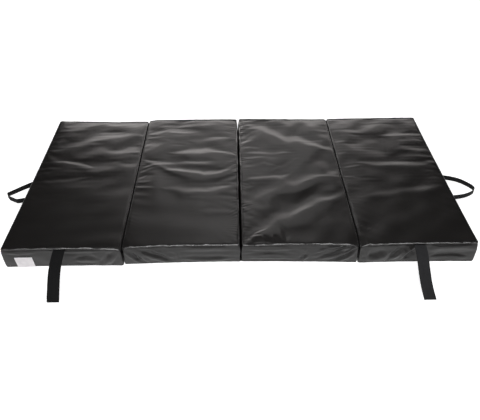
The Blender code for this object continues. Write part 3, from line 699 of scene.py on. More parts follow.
def pillow_share(panel, across, back):
    """How far the cover has risen from its rim, from 0 to 1: slowly beside a fold that closes at its top."""
    share = 1 - np.exp(-np.minimum(back, DEPTH - back) / PILLOW_REACH)
    for line, distance in ((panel - 1, across), (panel, PITCH - across)):
        reach = CLOSED_FOLD_REACH if line in CLOSED_FOLDS else PILLOW_REACH
        share = share * (1 - np.exp(-distance / reach))
    return share


def drawn_folds(panel, across, back, seed):
    """The folds that the photograph shows on a panel's top, each led a little astray."""
    warp_x = across + FOLD_WARP * waves(across, back, seed, 6, 0.10, 0.30)
    warp_y = back + FOLD_WARP * waves(across, back, seed + 1, 6, 0.10, 0.30)
    folds = np.zeros(across.shape)
    for points, half_width, steepness in TOP_FOLDS[panel]:
        folds += fold_height(warp_x, warp_y, points, half_width, steepness)
    return folds


def slack_ripples(across, back, seed):
    """Fine ripples that run along the mat, in patches, and fewer where the front is taut."""
    slack = risen(TAUT_SLACK, (back - TAUT_DEPTH) / TAUT_END)
    patches = smoothstep(0.5 + 0.6 * waves(across, back, seed + 9, 8, 0.10, 0.30, stretch=1.5))
    return waves(across, back, seed + 2, 14, 0.022, 0.060, stretch=6.0) * slack * patches


def rim_gathers(panel, across, back, seed):
    """Gathers along a panel's side seams, and lighter ones along its front and back."""
    total = np.zeros(across.shape)
    for line, distance, strength in zip((0, 3), (across, PITCH - across), SIDE_GATHERS[panel]):
        for first, scale, pitch, reach in SIDE_GATHER_FORMS:
            total += scale * strength * gathers(back, distance, seed + first + line, pitch, reach)
    for line, distance in ((6, back), (7, DEPTH - back)):
        total += END_GATHER * gathers(across, distance, seed + 4 + line, 0.024, 0.014)
    return total


def stitch_groove(depth, from_seam):
    """The groove that the row of stitches pulls into the cover beside a seam."""
    return depth * np.exp(-(((from_seam - SEAM_ROWS[STITCH_ROW]) / GROOVE_WIDTH) ** 2))


def drawn_height(panel, across, back):
    """How high a panel's top stands above the floor before the cloth simulation."""
    size = sizes()
    seed = size.seed * 100 + panel * 10
    away = seam_distance(across, back)
    middle = (1 - (2 * across / PITCH - 1) ** CROWN_POWER) * (1 - (2 * back / DEPTH - 1) ** CROWN_POWER)
    height = RIM_HEIGHT + size.pillow * pillow_share(panel, across, back) + size.crown * middle
    relief = size.fold_height * drawn_folds(panel, across, back, seed)
    relief = relief + size.ripple * slack_ripples(across, back, seed)
    relief = relief + SWELL_HEIGHT * waves(across, back, seed + 3, 8, 0.10, 0.35)
    relief = relief + size.gather * rim_gathers(panel, across, back, seed)
    relief = relief * risen(RIM_RELIEF, away / RIM_RELIEF_REACH)
    return height + relief - stitch_groove(GROOVE_DEPTH, away) - rim_drop(panel, across, back)


def top_height(panel, across, back):
    """How high a panel's top stands above the floor."""
    height = drawn_height(panel, across, back)
    hold = smoothstep(seam_distance(across, back) / CLOTH_RIM_REACH)
    height = height + hold * smooth_sample(cloth_rise(panel), across / PITCH, back / DEPTH)
    return under_ceiling(height)


# Cloth simulation: each top starts as drawn, a little too long for its panel, and settles on its foam
CLOTH_STEP = 0.010
CLOTH_FRAMES = 20
CLOTH_QUALITY = 5
CLOTH_WEIGHT = 0.3
CLOTH_STRETCH_STIFFNESS = 40.0
CLOTH_SHEAR_STIFFNESS = 8.0
CLOTH_BEND_STIFFNESS = 1.0
CLOTH_AIR_DAMPING = 1.0
FOAM_HOLD = 0.02

# The cloth's extra length, and how far back on each panel it starts and comes in full
CLOTH_SLACK = 0.0014
SLACK_START = {1: 0.30, 2: 0.22, 3: 0.0, 4: 0.45}
SLACK_RISE = 0.35

# What is kept of the settled cloth: a limit on its moves, shares that draw them out along X, and a still rim
CLOTH_MOVE_LIMIT = 0.004
STRETCH_WAY = (0.04, 0.11, 0.21, 0.28, 0.21, 0.11, 0.04)
CLOTH_RIM_REACH = 0.015


@functools.lru_cache
def cloth_rise(panel):
    """How far each point of a coarse grid over a panel's top rises when its slack cloth settles."""
    rows, columns = round(PITCH / CLOTH_STEP) + 1, round(DEPTH / CLOTH_STEP) + 1
    lengths = np.linspace(0, PITCH, rows), np.linspace(0, DEPTH, columns)
    across, back = np.meshgrid(*lengths, indexing="ij")
    start = np.stack([across, back, drawn_height(panel, across, back)], axis=-1)
    name = f"settling_cloth_{panel}"
    mesh = quick_mesh(name, start.reshape(-1, 3), grid_faces(rows, columns, 0, False))
    cloth = finish_piece(name, mesh, cover_material())
    hold_cloth(cloth, seam_distance(across, back).ravel() < CLOTH_STEP / 2)
    tighten_cloth(cloth, 1 - smoothstep((back - SLACK_START[panel]) / SLACK_RISE).ravel())
    set_cloth(cloth)
    rise = settled_heights(cloth).reshape(rows, columns) - start[..., 2]
    bpy.data.objects.remove(cloth)
    rise = np.apply_along_axis(drawn_out, 0, rise)
    return np.clip(rise, -CLOTH_MOVE_LIMIT, CLOTH_MOVE_LIMIT)


def hold_cloth(cloth, rim):
    """The rim is sewn down, and the foam holds the rest weakly."""
    held = cloth.vertex_groups.new(name="held")
    held.add([int(i) for i in np.flatnonzero(rim)], 1.0, "REPLACE")
    held.add([int(i) for i in np.flatnonzero(~rim)], FOAM_HOLD, "REPLACE")


def tighten_cloth(cloth, shares):
    """Where the cloth has no extra length (1), all of it (0) or some."""
    tight = cloth.vertex_groups.new(name="tight")
    for number, share in enumerate(shares):
        tight.add([number], float(share), "REPLACE")


def set_cloth(cloth):
    """Coated fabric on foam, a little long for its panel, without gravity or collisions."""
    modifier = cloth.modifiers.new("cloth", "CLOTH")
    modifier.point_cache.frame_start = 1
    modifier.point_cache.frame_end = CLOTH_FRAMES
    settings = modifier.settings
    settings.quality = CLOTH_QUALITY
    settings.mass = CLOTH_WEIGHT
    settings.tension_stiffness = CLOTH_STRETCH_STIFFNESS
    settings.compression_stiffness = CLOTH_STRETCH_STIFFNESS
    settings.shear_stiffness = CLOTH_SHEAR_STIFFNESS
    settings.bending_stiffness = CLOTH_BEND_STIFFNESS
    settings.air_damping = CLOTH_AIR_DAMPING
    settings.vertex_group_mass = "held"
    settings.pin_stiffness = 1.0
    settings.vertex_group_shrink = "tight"
    settings.shrink_min = -CLOTH_SLACK
    settings.shrink_max = 0.0
    settings.effector_weights.gravity = 0.0
    modifier.collision_settings.use_collision = False


def settled_heights(cloth):
    """Runs the simulation and returns the height of each of the cloth's points at its end."""
    scene = bpy.context.scene
    for moment in range(1, CLOTH_FRAMES + 1):
        scene.frame_set(moment)
    settled = cloth.evaluated_get(bpy.context.evaluated_depsgraph_get()).data
    places = np.empty(len(settled.vertices) * 3, np.float32)
    settled.vertices.foreach_get("co", places)
    scene.frame_set(1)
    return places[2::3]


def drawn_out(line):
    """A line of heights, each spread over its neighbours."""
    return np.convolve(np.pad(line, len(STRETCH_WAY) // 2, "edge"), STRETCH_WAY, "valid")


def smooth_sample(grid, first, second):
    """Reads a grid smoothly at places given as shares of its two sides."""
    total = np.zeros(first.shape)
    for near, weight in spline_weights(first, grid.shape[0]):
        for beside, other in spline_weights(second, grid.shape[1]):
            total += weight * other * grid[near, beside]
    return total


def spline_weights(share, count):
    """The four grid lines near each place and how much each one counts, as a cubic B-spline has them."""
    place = np.clip(share, 0.0, 1.0) * (count - 1)
    line = np.minimum(place.astype(int), count - 2)
    t = place - line
    weights = ((1 - t) ** 3, 3 * t**3 - 6 * t**2 + 4, -3 * t**3 + 3 * t**2 + 3 * t + 1, t**3)
    return [(np.clip(line + i - 1, 0, count - 1), weight / 6) for i, weight in enumerate(weights)]


def under_ceiling(height):
    """Eases the highest folds down, so that two folded panels lie flat on each other."""
    over = np.clip(height - SOFT_CEILING, 0.0, None)
    return np.minimum(height, SOFT_CEILING) + CEILING_ROOM * np.tanh(over / CEILING_ROOM)


# Walls
WALL_SEAM_REACH = 0.010
WALL_FLOOR_REACH = 0.006
WALL_GROOVE_START = 0.003

# Ripples: height, how many waves make them, shortest and longest wave, and stretch along the wall
WALL_RIPPLES = {
    "front": (0.0004, 10, 0.02, 0.07, 2.5),
    "back": (0.0002, 8, 0.03, 0.09, 2.0),
    "end": (0.0006, 10, 0.03, 0.10, 2.0),
    "fold": (0.0003, 10, 0.03, 0.10, 2.0),
}

# Gathers below the seam: height, distance from one to the next, and reach
WALL_GATHERS = {"front": (0.0006, 0.026, 0.012), "end": (0.0007, 0.030, 0.016)}


def wall_kind(panel, side):
    if side in (0, 2):
        return "front" if side == 0 else "back"
    return "end" if (panel, side) in ((1, 3), (len(PANELS), 1)) else "fold"


def wall_relief(panel, side, along, up):
    """How far a wall stands out from its plain shape. side: 0 front, 1 right, 2 back, 3 left."""
    seed = sizes().seed * 1000 + panel * 50 + side * 10
    kind = wall_kind(panel, side)
    below_seam = RIM_HEIGHT - up
    relief = np.zeros(along.shape)
    if kind == "front":
        for points, half_width, steepness in FRONT_FOLDS[panel]:
            relief += fold_height(along, up, points, half_width, steepness, creased_profile)
    height, count, shortest, longest, stretch = WALL_RIPPLES[kind]
    relief += height * waves(along, up, seed, count, shortest, longest, stretch)
    if kind in WALL_GATHERS:
        height, pitch, reach = WALL_GATHERS[kind]
        relief += height * gathers(along, below_seam, seed + 1, pitch, reach)
    hold = smoothstep(below_seam / WALL_SEAM_REACH) * smoothstep((up - FLOOR_RIM_HEIGHT) / WALL_FLOOR_REACH)
    groove = stitch_groove(WALL_GROOVE_DEPTH, below_seam) * smoothstep(below_seam / WALL_GROOVE_START)
    return relief * hold - groove


# Panel shape
def half_gap(line, up):
    """How far a wall stands from the fold line beside it. The mat's two ends have no fold."""
    if line in (0, len(FOLDS) + 1):
        return np.zeros_like(up)
    at_floor, at_seam, power = MIDDLE_FOLD_GAPS if line == MIDDLE_FOLD else CLOSED_FOLD_GAPS
    return (at_floor + (at_seam - at_floor) * np.clip(up / RIM_HEIGHT, 0.0, HIGHEST_SHARE) ** power) / 2


def swell(up):
    """How far a free wall bulges between its seams."""
    share = np.clip(up / RIM_HEIGHT, 0.0, 1.0)
    return SIDE_BULGE * 4 * share * (1 - share)


def front_shift(panel, across, up):
    """How far a panel's front stands back from the plain front."""
    (seam_left, seam_right), (floor_left, floor_right) = FRONT_SHIFTS[panel]
    share = np.clip(up / RIM_HEIGHT, 0.0, 1.0)
    at_left = floor_left + (seam_left - floor_left) * share
    at_right = floor_right + (seam_right - floor_right) * share
    return at_left + (at_right - at_left) * across / PITCH


def in_plan(panel, across, back, up, inset=0.0):
    """The x and y of a place on a panel at a height, with rounded corners and the free sides drawn in."""
    bulge = swell(up)
    left = FOLD_LINES[panel - 1] + half_gap(panel - 1, up) + inset
    right = FOLD_LINES[panel] - half_gap(panel, up) - inset
    front, rear = FRONT - bulge + inset, BACK + bulge * BACK_BULGE_SHARE - inset
    if panel == 1:
        left = left - bulge
    if panel == len(PANELS):
        right = right + bulge
    x = left + across / PITCH * (right - left)
    y = front + back / DEPTH * (rear - front)
    radius = CORNER_RADIUS - inset
    near_x = np.clip(x, left + radius, right - radius)
    near_y = np.clip(y, front + radius, rear - radius)
    a, b = (x - near_x) / radius, (y - near_y) / radius
    x = near_x + radius * a * np.sqrt(1 - b * b / 2)
    y = near_y + radius * b * np.sqrt(1 - a * a / 2)
    t_across, t_back = 2 * across / PITCH - 1, 2 * back / DEPTH - 1
    y = y + FRONT_DRAW_IN * (1 - t_across**2) * (1 - back / DEPTH) ** DRAW_IN_POWER
    y = y + front_shift(panel, across, up) * (1 - back / DEPTH) ** FRONT_SHIFT_POWER
    if panel == 1:
        x = x + FRONT_DRAW_IN * (1 - t_back**2) * (1 - across / PITCH) ** DRAW_IN_POWER
    if panel == len(PANELS):
        x = x - FRONT_DRAW_IN * (1 - t_back**2) * (across / PITCH) ** DRAW_IN_POWER
    return x, y


def grid_lines(length, step):
    """Distances across a cover: close together beside the seams and even between them."""
    edge = np.array(SEAM_ROWS)
    count = round((length - 2 * edge[-1]) / step)
    middle = np.linspace(edge[-1], length - edge[-1], count + 1)
    return np.concatenate([edge[:-1], middle, length - edge[:-1][::-1]])


def ring_of(grid, inset=0):
    """The points of a grid that lie inset rows in from its edge, anticlockwise from the front left."""
    inner = grid[inset : grid.shape[0] - inset, inset : grid.shape[1] - inset]
    return np.concatenate([inner[:-1, 0], inner[-1, :-1], inner[:0:-1, -1], inner[0, :0:-1]])


@functools.lru_cache
def cover_shape(panel):
    """A cover's points: its top grid, its wall rows from the rim to the floor, and its sole grid."""
    step = sizes().grid_step
    across, back = np.meshgrid(grid_lines(PITCH, step), grid_lines(DEPTH, step), indexing="ij")
    top_z = top_height(panel, across, back)
    x, y = in_plan(panel, across, back, np.full(across.shape, RIM_HEIGHT))
    top = np.stack([x, y, top_z], axis=-1)
    rim_across, rim_back, rim_z = ring_of(across), ring_of(back), ring_of(top_z)
    side = np.repeat([0, 1, 2, 3], (across.shape[0] - 1, across.shape[1] - 1) * 2)
    rows = []
    downs = grid_lines(RIM_HEIGHT - FLOOR_RIM_HEIGHT, step)
    for down in downs[1:]:
        share = down / downs[-1]
        up = rim_z + (FLOOR_RIM_HEIGHT - rim_z) * share
        rows.append(wall_row(panel, rim_across, rim_back, side, up))
    sole_x, sole_y = in_plan(panel, across, back, np.full(across.shape, FLOOR_RIM_HEIGHT), SOLE_INSET)
    lift = SOLE_WAVE_HEIGHT * np.clip(waves(across, back, 40 + panel, 8, 0.08, 0.3), 0.0, 2.0)
    lift = lift * smoothstep(seam_distance(across, back) / SOLE_WAVE_REACH)
    sole = np.stack([sole_x, sole_y, SOLE_HEIGHT + lift], axis=-1)
    return top, np.array(rows), sole


def wall_row(panel, across, back, side, up):
    """One row of points round a panel's walls, moved out by their relief."""
    x, y = in_plan(panel, across, back, up)
    ahead_x, ahead_y = np.roll(x, -1) - np.roll(x, 1), np.roll(y, -1) - np.roll(y, 1)
    length = np.hypot(ahead_x, ahead_y)
    out_x, out_y = ahead_y / length, -ahead_x / length
    relief = np.zeros(x.shape)
    for number in range(4):
        chosen = side == number
        along = across[chosen] if number in (0, 2) else back[chosen]
        relief[chosen] = wall_relief(panel, number, along, up[chosen])
    return np.stack([x + out_x * relief, y + out_y * relief, up], axis=-1)


def grid_faces(rows, columns, start, flip):
    index = start + np.arange(rows * columns).reshape(rows, columns)
    faces = np.stack([index[:-1, :-1], index[1:, :-1], index[1:, 1:], index[:-1, 1:]], axis=-1).reshape(-1, 4)
    return faces[:, ::-1] if flip else faces


def band_faces(upper, lower):
    """Faces between two rings of point numbers, the upper one first, seen from outside."""
    return np.stack([lower, np.roll(lower, -1), np.roll(upper, -1), upper], axis=-1)


def cover_mesh(panel):
    top, walls, sole = cover_shape(panel)
    rows, columns = top.shape[:2]
    top_index = np.arange(rows * columns).reshape(rows, columns)
    wall_start = rows * columns
    ring_size = walls.shape[1]
    sole_start = wall_start + walls.shape[0] * ring_size
    rings = [ring_of(top_index)]
    rings += [wall_start + i * ring_size + np.arange(ring_size) for i in range(walls.shape[0])]
    rings += [ring_of(top_index) + sole_start]
    faces = [grid_faces(rows, columns, 0, False), grid_faces(rows, columns, sole_start, True)]
    faces += [band_faces(upper, lower) for upper, lower in zip(rings, rings[1:])]
    points = np.concatenate([top.reshape(-1, 3), walls.reshape(-1, 3), sole.reshape(-1, 3)])
    return points, np.concatenate(faces)


def quick_mesh(name, points, faces):
    """A mesh from arrays of points and four-sided faces."""
    mesh = bpy.data.meshes.new(name)
    mesh.vertices.add(len(points))
    mesh.vertices.foreach_set("co", np.asarray(points, np.float32).ravel())
    mesh.loops.add(len(faces) * 4)
    mesh.loops.foreach_set("vertex_index", np.asarray(faces, np.int32).ravel())
    mesh.polygons.add(len(faces))
    mesh.polygons.foreach_set("loop_start", np.arange(0, len(faces) * 4, 4, dtype=np.int32))
    mesh.update(calc_edges=True)
    return mesh


def slab_mesh(name, upper, lower):
    """A closed body between two grids of points, the upper or outer one first."""
    rows, columns = upper.shape[:2]
    count = rows * columns
    ring = ring_of(np.arange(count).reshape(rows, columns))
    faces = [grid_faces(rows, columns, 0, False), grid_faces(rows, columns, count, True)]
    faces.append(band_faces(ring, ring + count))
    points = np.concatenate([upper.reshape(-1, 3), lower.reshape(-1, 3)])
    return quick_mesh(name, points, np.concatenate(faces))


def make_covers():
    for panel in PANELS:
        name = f"cover_{panel}"
        cover = finish_piece(name, quick_mesh(name, *cover_mesh(panel)), cover_material())
        nodes = (f"top_cover_{panel}", f"side_band_{panel}", f"bottom_cover_{panel}")
        dress(cover, f"panel_{panel}", "cover_vinyl", *nodes)


# Foam
FOAM_INSET = 0.006
FOAM_STEPS = (12, 24)
FOAM_EDGE_DROP = 0.002


def make_foam():
    """A rounded block of foam inside each cover, clear of its folds."""
    for panel in PANELS:
        lengths = [np.linspace(0, length, steps + 1) for length, steps in zip((PITCH, DEPTH), FOAM_STEPS)]
        across, back = np.meshgrid(*lengths, indexing="ij")
        rim = (across == 0) | (across == PITCH) | (back == 0) | (back == DEPTH)
        upper = RIM_HEIGHT - FOAM_INSET - rim_drop(panel, across, back) - FOAM_EDGE_DROP * rim
        lower = FOAM_INSET + FOAM_EDGE_DROP * rim
        grids = []
        for level in (upper, lower):
            x, y = in_plan(panel, across, back, level, FOAM_INSET)
            grids.append(np.stack([x, y, level], axis=-1))
        name = f"foam_{panel}"
        foam = finish_piece(name, slab_mesh(name, *grids), foam_material())
        dress(foam, f"panel_{panel}", "foam", f"foam_core_{panel}")


# Rolled seams and stitches
ROLL_SIDES = 10
ROLL_SLOPE = math.radians(38)
ROLL_SLOPE_CHANGE = math.radians(9)
ROLL_FLATNESS = 0.4
ROLL_SQUARENESS = 0.5
ROLL_UNEVENNESS = 0.20
ROLL_OVERHANG = 0.55
TIGHT_SIDE_REACH = 0.008
TIGHT_SIDE_WIDTH = 0.40

# The upper and the lower roll: lift, seed, share of the roll's width, and whether it is turned down or under
ROLLS = ((0.0006, 3, 1.0, 1), (0.0, 4, 0.75, -1))
ROLL_SOLE_GAP = 0.0004
STITCH_LIFT = 0.0002


def squared(value):
    """Turns the sine and cosine of a circle into those of a squarer outline."""
    return math.copysign(abs(value) ** ROLL_SQUARENESS, value)


def tube_around(ring, widths, slopes, out):
    """A closed flattened roll along a ring of points. It slopes down on the side away from the panel."""
    up = np.array([0.0, 0.0, 1.0])
    cos, sin = np.cos(slopes)[:, None], np.sin(slopes)[:, None]
    down_slope, facing = cos * out - sin * up, sin * out + cos * up
    rings = []
    for i in range(ROLL_SIDES):
        turn = 2 * math.pi * i / ROLL_SIDES
        wide, high = squared(math.cos(turn)), ROLL_FLATNESS * squared(math.sin(turn))
        rings.append(ring + widths[:, None] * (wide * down_slope + high * facing))
    count = len(ring)
    points = np.concatenate(rings)
    faces = []
    for i in range(ROLL_SIDES):
        j = (i + 1) % ROLL_SIDES
        this, that = i * count + np.arange(count), j * count + np.arange(count)
        faces.append(np.stack([this, that, np.roll(that, -1), np.roll(this, -1)], axis=-1))
    return points, np.concatenate(faces)


def outwards(ring):
    """Level directions away from a ring of points."""
    ahead = np.roll(ring, -1, axis=0) - np.roll(ring, 1, axis=0)
    out = np.stack([ahead[:, 1], -ahead[:, 0], np.zeros(len(ring))], axis=-1)
    return out / np.linalg.norm(out, axis=1)[:, None]


def roll_widths(ring, width, seed):
    """The roll's half width round a panel, never quite even."""
    uneven = waves(ring[:, 0] + ring[:, 1], ring[:, 1] * 0.3, seed, 8, 0.02, 0.12)
    return width * (1 + ROLL_UNEVENNESS * uneven)


def beside_tight_side(panel, ring):
    """Which points of a panel's rim lie at a closed fold or at an end of the mat, where the roll is small."""
    beside = np.zeros(len(ring), bool)
    for line in (panel - 1, panel):
        if line != MIDDLE_FOLD:
            beside |= np.abs(ring[:, 0] - FOLD_LINES[line]) < TIGHT_SIDE_REACH
    return beside


def seam_roll(panel, ring, lift, seed, scale, lean):
    """The points and faces of one rolled seam round a panel."""
    seed = seed * 10 + panel
    out = outwards(ring)
    beside = beside_tight_side(panel, ring)
    widths = roll_widths(ring, sizes().roll_width * scale, seed)
    widths = np.where(beside, widths * TIGHT_SIDE_WIDTH, widths)
    reach = np.where(beside, 0.0, widths * ROLL_OVERHANG)
    path = ring - out * (widths - reach)[:, None]
    lowest = widths * math.sin(ROLL_SLOPE) + SOLE_HEIGHT + ROLL_SOLE_GAP
    path[:, 2] = np.maximum(path[:, 2] + lift, lowest)
    turns = waves(ring[:, 0] - ring[:, 1], ring[:, 0] * 0.3, seed + 5, 8, 0.03, 0.15)
    return tube_around(path, widths, lean * (ROLL_SLOPE + ROLL_SLOPE_CHANGE * turns), out)


def make_seams():
    for panel in PANELS:
        top, walls, _ = cover_shape(panel)
        points, faces, count = [], [], 0
        for ring, roll in zip((ring_of(top), walls[-1]), ROLLS):
            roll_points, roll_faces = seam_roll(panel, ring, *roll)
            points.append(roll_points)
            faces.append(roll_faces + count)
            count += len(roll_points)
        name = f"rolled_seams_{panel}"
        mesh = quick_mesh(name, np.concatenate(points), np.concatenate(faces))
        # The rolls carry the painted seam highlight in their colour
        dress(finish_piece(name, mesh, seam_highlight_material()), f"panel_{panel}", "cover_vinyl")
        upper = ring_of(top, STITCH_ROW) + np.array([0.0, 0.0, STITCH_LIFT])
        lower = walls[STITCH_ROW - 1] + outwards(walls[STITCH_ROW - 1]) * STITCH_LIFT
        stitches = stitch_along(f"seam_stitches_{panel}", [upper, lower], True)
        dress(stitches, f"panel_{panel}", "cover_vinyl")


# Geometry Nodes that repeat a small bead along lines. Each use sets the tree's sizes
BEAD_DEFAULT = 0.001
BEAD_RADIUS = 0.5
BEAD_SEGMENTS = 6
BEAD_RINGS = 4


@functools.lru_cache
def bead_tree():
    """A node tree that strings beads along lines: stitches, or the teeth of a zip."""
    tree = bpy.data.node_groups.new("Beads along a line", "GeometryNodeTree")
    face = tree.interface
    face.new_socket("Lines", in_out="INPUT", socket_type="NodeSocketGeometry")
    for name in ("Pitch", "Bead length", "Bead width", "Bead height"):
        socket = face.new_socket(name, in_out="INPUT", socket_type="NodeSocketFloat")
        socket.default_value = BEAD_DEFAULT
    face.new_socket("Material", in_out="INPUT", socket_type="NodeSocketMaterial")
    face.new_socket("Beads", in_out="OUTPUT", socket_type="NodeSocketGeometry")
    start, end = tree.nodes.new("NodeGroupInput"), tree.nodes.new("NodeGroupOutput")
    curve = tree.nodes.new("GeometryNodeMeshToCurve")
    spaced = tree.nodes.new("GeometryNodeResampleCurve")
    spaced.mode = "LENGTH"
    tangent = tree.nodes.new("GeometryNodeInputTangent")
    turn = tree.nodes.new("FunctionNodeAlignRotationToVector")
    turn.axis = "X"
    bead = tree.nodes.new("GeometryNodeMeshUVSphere")
    bead.inputs["Segments"].default_value = BEAD_SEGMENTS
    bead.inputs["Rings"].default_value = BEAD_RINGS
    bead.inputs["Radius"].default_value = BEAD_RADIUS
    size = tree.nodes.new("ShaderNodeCombineXYZ")
    copies = tree.nodes.new("GeometryNodeInstanceOnPoints")
    real = tree.nodes.new("GeometryNodeRealizeInstances")
    smooth = tree.nodes.new("GeometryNodeSetShadeSmooth")
    finish = tree.nodes.new("GeometryNodeSetMaterial")
    for source, target in (
        (start.outputs["Lines"], curve.inputs["Mesh"]),
        (curve.outputs["Curve"], spaced.inputs["Curve"]),
        (start.outputs["Pitch"], spaced.inputs["Length"]),
        (spaced.outputs["Curve"], copies.inputs["Points"]),
        (bead.outputs["Mesh"], copies.inputs["Instance"]),
        (tangent.outputs["Tangent"], turn.inputs["Vector"]),
        (turn.outputs["Rotation"], copies.inputs["Rotation"]),
        (start.outputs["Bead length"], size.inputs["X"]),
        (start.outputs["Bead width"], size.inputs["Y"]),
        (start.outputs["Bead height"], size.inputs["Z"]),
        (size.outputs["Vector"], copies.inputs["Scale"]),
        (copies.outputs["Instances"], real.inputs["Geometry"]),
        (real.outputs["Geometry"], smooth.inputs["Geometry"]),
        (smooth.outputs["Geometry"], finish.inputs["Geometry"]),
        (start.outputs["Material"], finish.inputs["Material"]),
        (finish.outputs["Geometry"], end.inputs["Beads"]),
    ):
        tree.links.new(source, target)
    return tree


def beads_along(name, lines, closed, material, **values):
    """Runs the bead tree on lines of points and returns the beads as one plain mesh object."""
    guide = bpy.data.meshes.new(name)
    points, edges = [], []
    for line in lines:
        start = len(points)
        points += [tuple(p) for p in line]
        edges += [(start + i, start + i + 1) for i in range(len(line) - 1)]
        if closed:
            edges.append((start + len(line) - 1, start))
    guide.from_pydata(points, edges, [])
    holder = bpy.data.objects.new(name, guide)
    bpy.context.scene.collection.objects.link(holder)
    modifier = holder.modifiers.new("beads", "NODES")
    modifier.node_group = bead_tree()
    wanted = {key.replace("_", " ").capitalize(): value for key, value in values.items()}
    wanted["Material"] = material
    for socket in bead_tree().interface.items_tree:
        if socket.in_out == "INPUT" and socket.name in wanted:
            modifier[socket.identifier] = wanted[socket.name]
    bpy.context.view_layer.update()
    evaluated = holder.evaluated_get(bpy.context.evaluated_depsgraph_get())
    mesh = bpy.data.meshes.new_from_object(evaluated)
    holder.modifiers.remove(modifier)
    bpy.data.objects.remove(holder, do_unlink=True)
    mesh.name = name
    return finish_piece(name, mesh, material)


def stitch_along(name, lines, closed=False):
    size = sizes()
    return beads_along(
        name, lines, closed, thread_material(),
        pitch=size.stitch_pitch, bead_length=size.stitch_length,
        bead_width=size.thread, bead_height=size.thread,
    )


# Webbing strips
STRIP_SIDE_POINTS = 9
STRIP_EDGE_POINTS = 3


def strip_section(width, thickness):
    """Points (across, up) round a webbing strip's section, with rounded edges."""
    half, radius = width / 2, thickness / 2
    section = []
    for face in (1, -1):
        for i in range(STRIP_SIDE_POINTS):
            across = face * (half - radius) * (1 - 2 * i / (STRIP_SIDE_POINTS - 1))
            section.append((across, face * radius))
        for i in range(1, STRIP_EDGE_POINTS + 1):
            turn = math.pi * i / (STRIP_EDGE_POINTS + 1)
            across = -face * (half - radius + radius * math.sin(turn))
            section.append((across, face * radius * math.cos(turn)))
    return section


def section_faces(count, size):
    """Four-sided faces between each of count closed sections of size points and the next."""
    faces = []
    for i in range(count - 1):
        for j in range(size):
            k = (j + 1) % size
            faces.append((i * size + j, i * size + k, (i + 1) * size + k, (i + 1) * size + j))
    return faces


def mesh_from(bm, name):
    """A plain mesh from one that was being edited, with its faces turned outwards."""
    bmesh.ops.recalc_face_normals(bm, faces=bm.faces)
    mesh = bpy.data.meshes.new(name)
    bm.to_mesh(mesh)
    bm.free()
    return mesh


def strip_mesh(name, centres, widths_way, faces_way, width, thickness):
    """A webbing strip along centres. The two lists of ways say where its width and its face point."""
    section = strip_section(width, thickness)
    runs = running_lengths(centres)
    points = []
    for centre, sideways, facing in zip(centres, widths_way, faces_way):
        points += [centre + sideways * a + facing * b for a, b in section]
    size = len(section)
    faces = section_faces(len(centres), size)
    for start in (0, (len(centres) - 1) * size):
        faces.append(tuple(range(start, start + size)))
    bm = bmesh.new()
    verts = [bm.verts.new(Vector(p)) for p in points]
    uv = bm.loops.layers.uv.new("strip")
    for face in faces:
        made = bm.faces.new([verts[i] for i in face])
        for loop, i in zip(made.loops, face):
            loop[uv].uv = (runs[i // size], section[i % size][0])
    return mesh_from(bm, name)


def directions(path):
    """Which way a line of points runs at each of them."""
    ahead = np.gradient(np.asarray(path, float), axis=0)
    return ahead / np.linalg.norm(ahead, axis=1)[:, None]


def step_lengths(points):
    return np.linalg.norm(np.diff(points, axis=0), axis=1)


def running_lengths(points):
    """How far along a line each of its points lies."""
    return np.concatenate([[0.0], np.cumsum(step_lengths(points))])


def resampled(points, count):
    """A line of points, evenly spaced along the same way."""
    points = np.asarray(points, float)
    runs = running_lengths(points)
    stops = np.linspace(0, runs[-1], count)
    return np.stack([np.interp(stops, runs, points[:, i]) for i in range(points.shape[1])], axis=-1)


def softened(points, rounds):
    """Points with their corners eased, and their two ends kept."""
    points = np.asarray(points, float).copy()
    for _ in range(rounds):
        points[1:-1] = (points[:-2] + 2 * points[1:-1] + points[2:]) / 4
    return points


# Handles
HANDLE_HEIGHT = 0.050
TAB_LENGTH = 0.034
LEFT_HANDLE_Y = -0.054
LEFT_HANDLE_HALF_SPAN = 0.0645
LEFT_HANDLE_BOW = (0.062, 0.022)
LEFT_HANDLE_CREASES = ((0.121, -0.028), (0.102, -0.054), (0.058, -0.078))
LEFT_HANDLE_LEAN = math.radians(6)
RIGHT_HANDLE_Y = -0.061
RIGHT_HANDLE_HALF_SPAN = 0.078
RIGHT_HANDLE_REACH = 0.151
RIGHT_HANDLE_LEAN = math.radians(4.5)
HANDLE_POINTS = 150
HANDLE_DROOP = 0.0015

# Rounds of softening: few for the left loop's sharp creases, many for the right loop's even bend
LEFT_HANDLE_SOFTENING = 2
RIGHT_HANDLE_SOFTENING = 36

# The lean comes in over a stretch beyond the mat's end
LEAN_START = 0.02
LEAN_REACH = 0.10

# A tab's points as shares of its length, and how it stands off the wall and turns into the loop
TAB_SHARES = (1.0, 0.66, 0.33, 0.1)
TAB_CLEARANCE = 0.002
TAB_SEAT = 0.0006
TURN_OUT = 0.004
TURN_ALONG = 0.0006
LOOP_START = 0.006

# The box of stitches on a tab
BOX_START = 0.009
BOX_MARGIN = 0.002
BOX_EDGE = 0.003
BOX_LIFT = 0.0008
BOX_POINTS = 40

# The right loop from its back root round its tip to its front root: shares of its reach and half its span
RIGHT_HANDLE_SHAPE = (
    (0.00, 1.00), (0.29, 0.90), (0.51, 0.76), (0.67, 0.59), (0.83, 0.28), (0.94, 0.01), (0.99, -0.18),
    (0.99, -0.34), (0.90, -0.54), (0.74, -0.74), (0.55, -0.90), (0.34, -1.00), (0.00, -1.05),
)


def left_handle_line():
    half = LEFT_HANDLE_HALF_SPAN
    return [(0.0, half), LEFT_HANDLE_BOW, *LEFT_HANDLE_CREASES, (0.0, -half)]


def right_handle_line():
    return [(RIGHT_HANDLE_REACH * out, RIGHT_HANDLE_HALF_SPAN * along) for out, along in RIGHT_HANDLE_SHAPE]


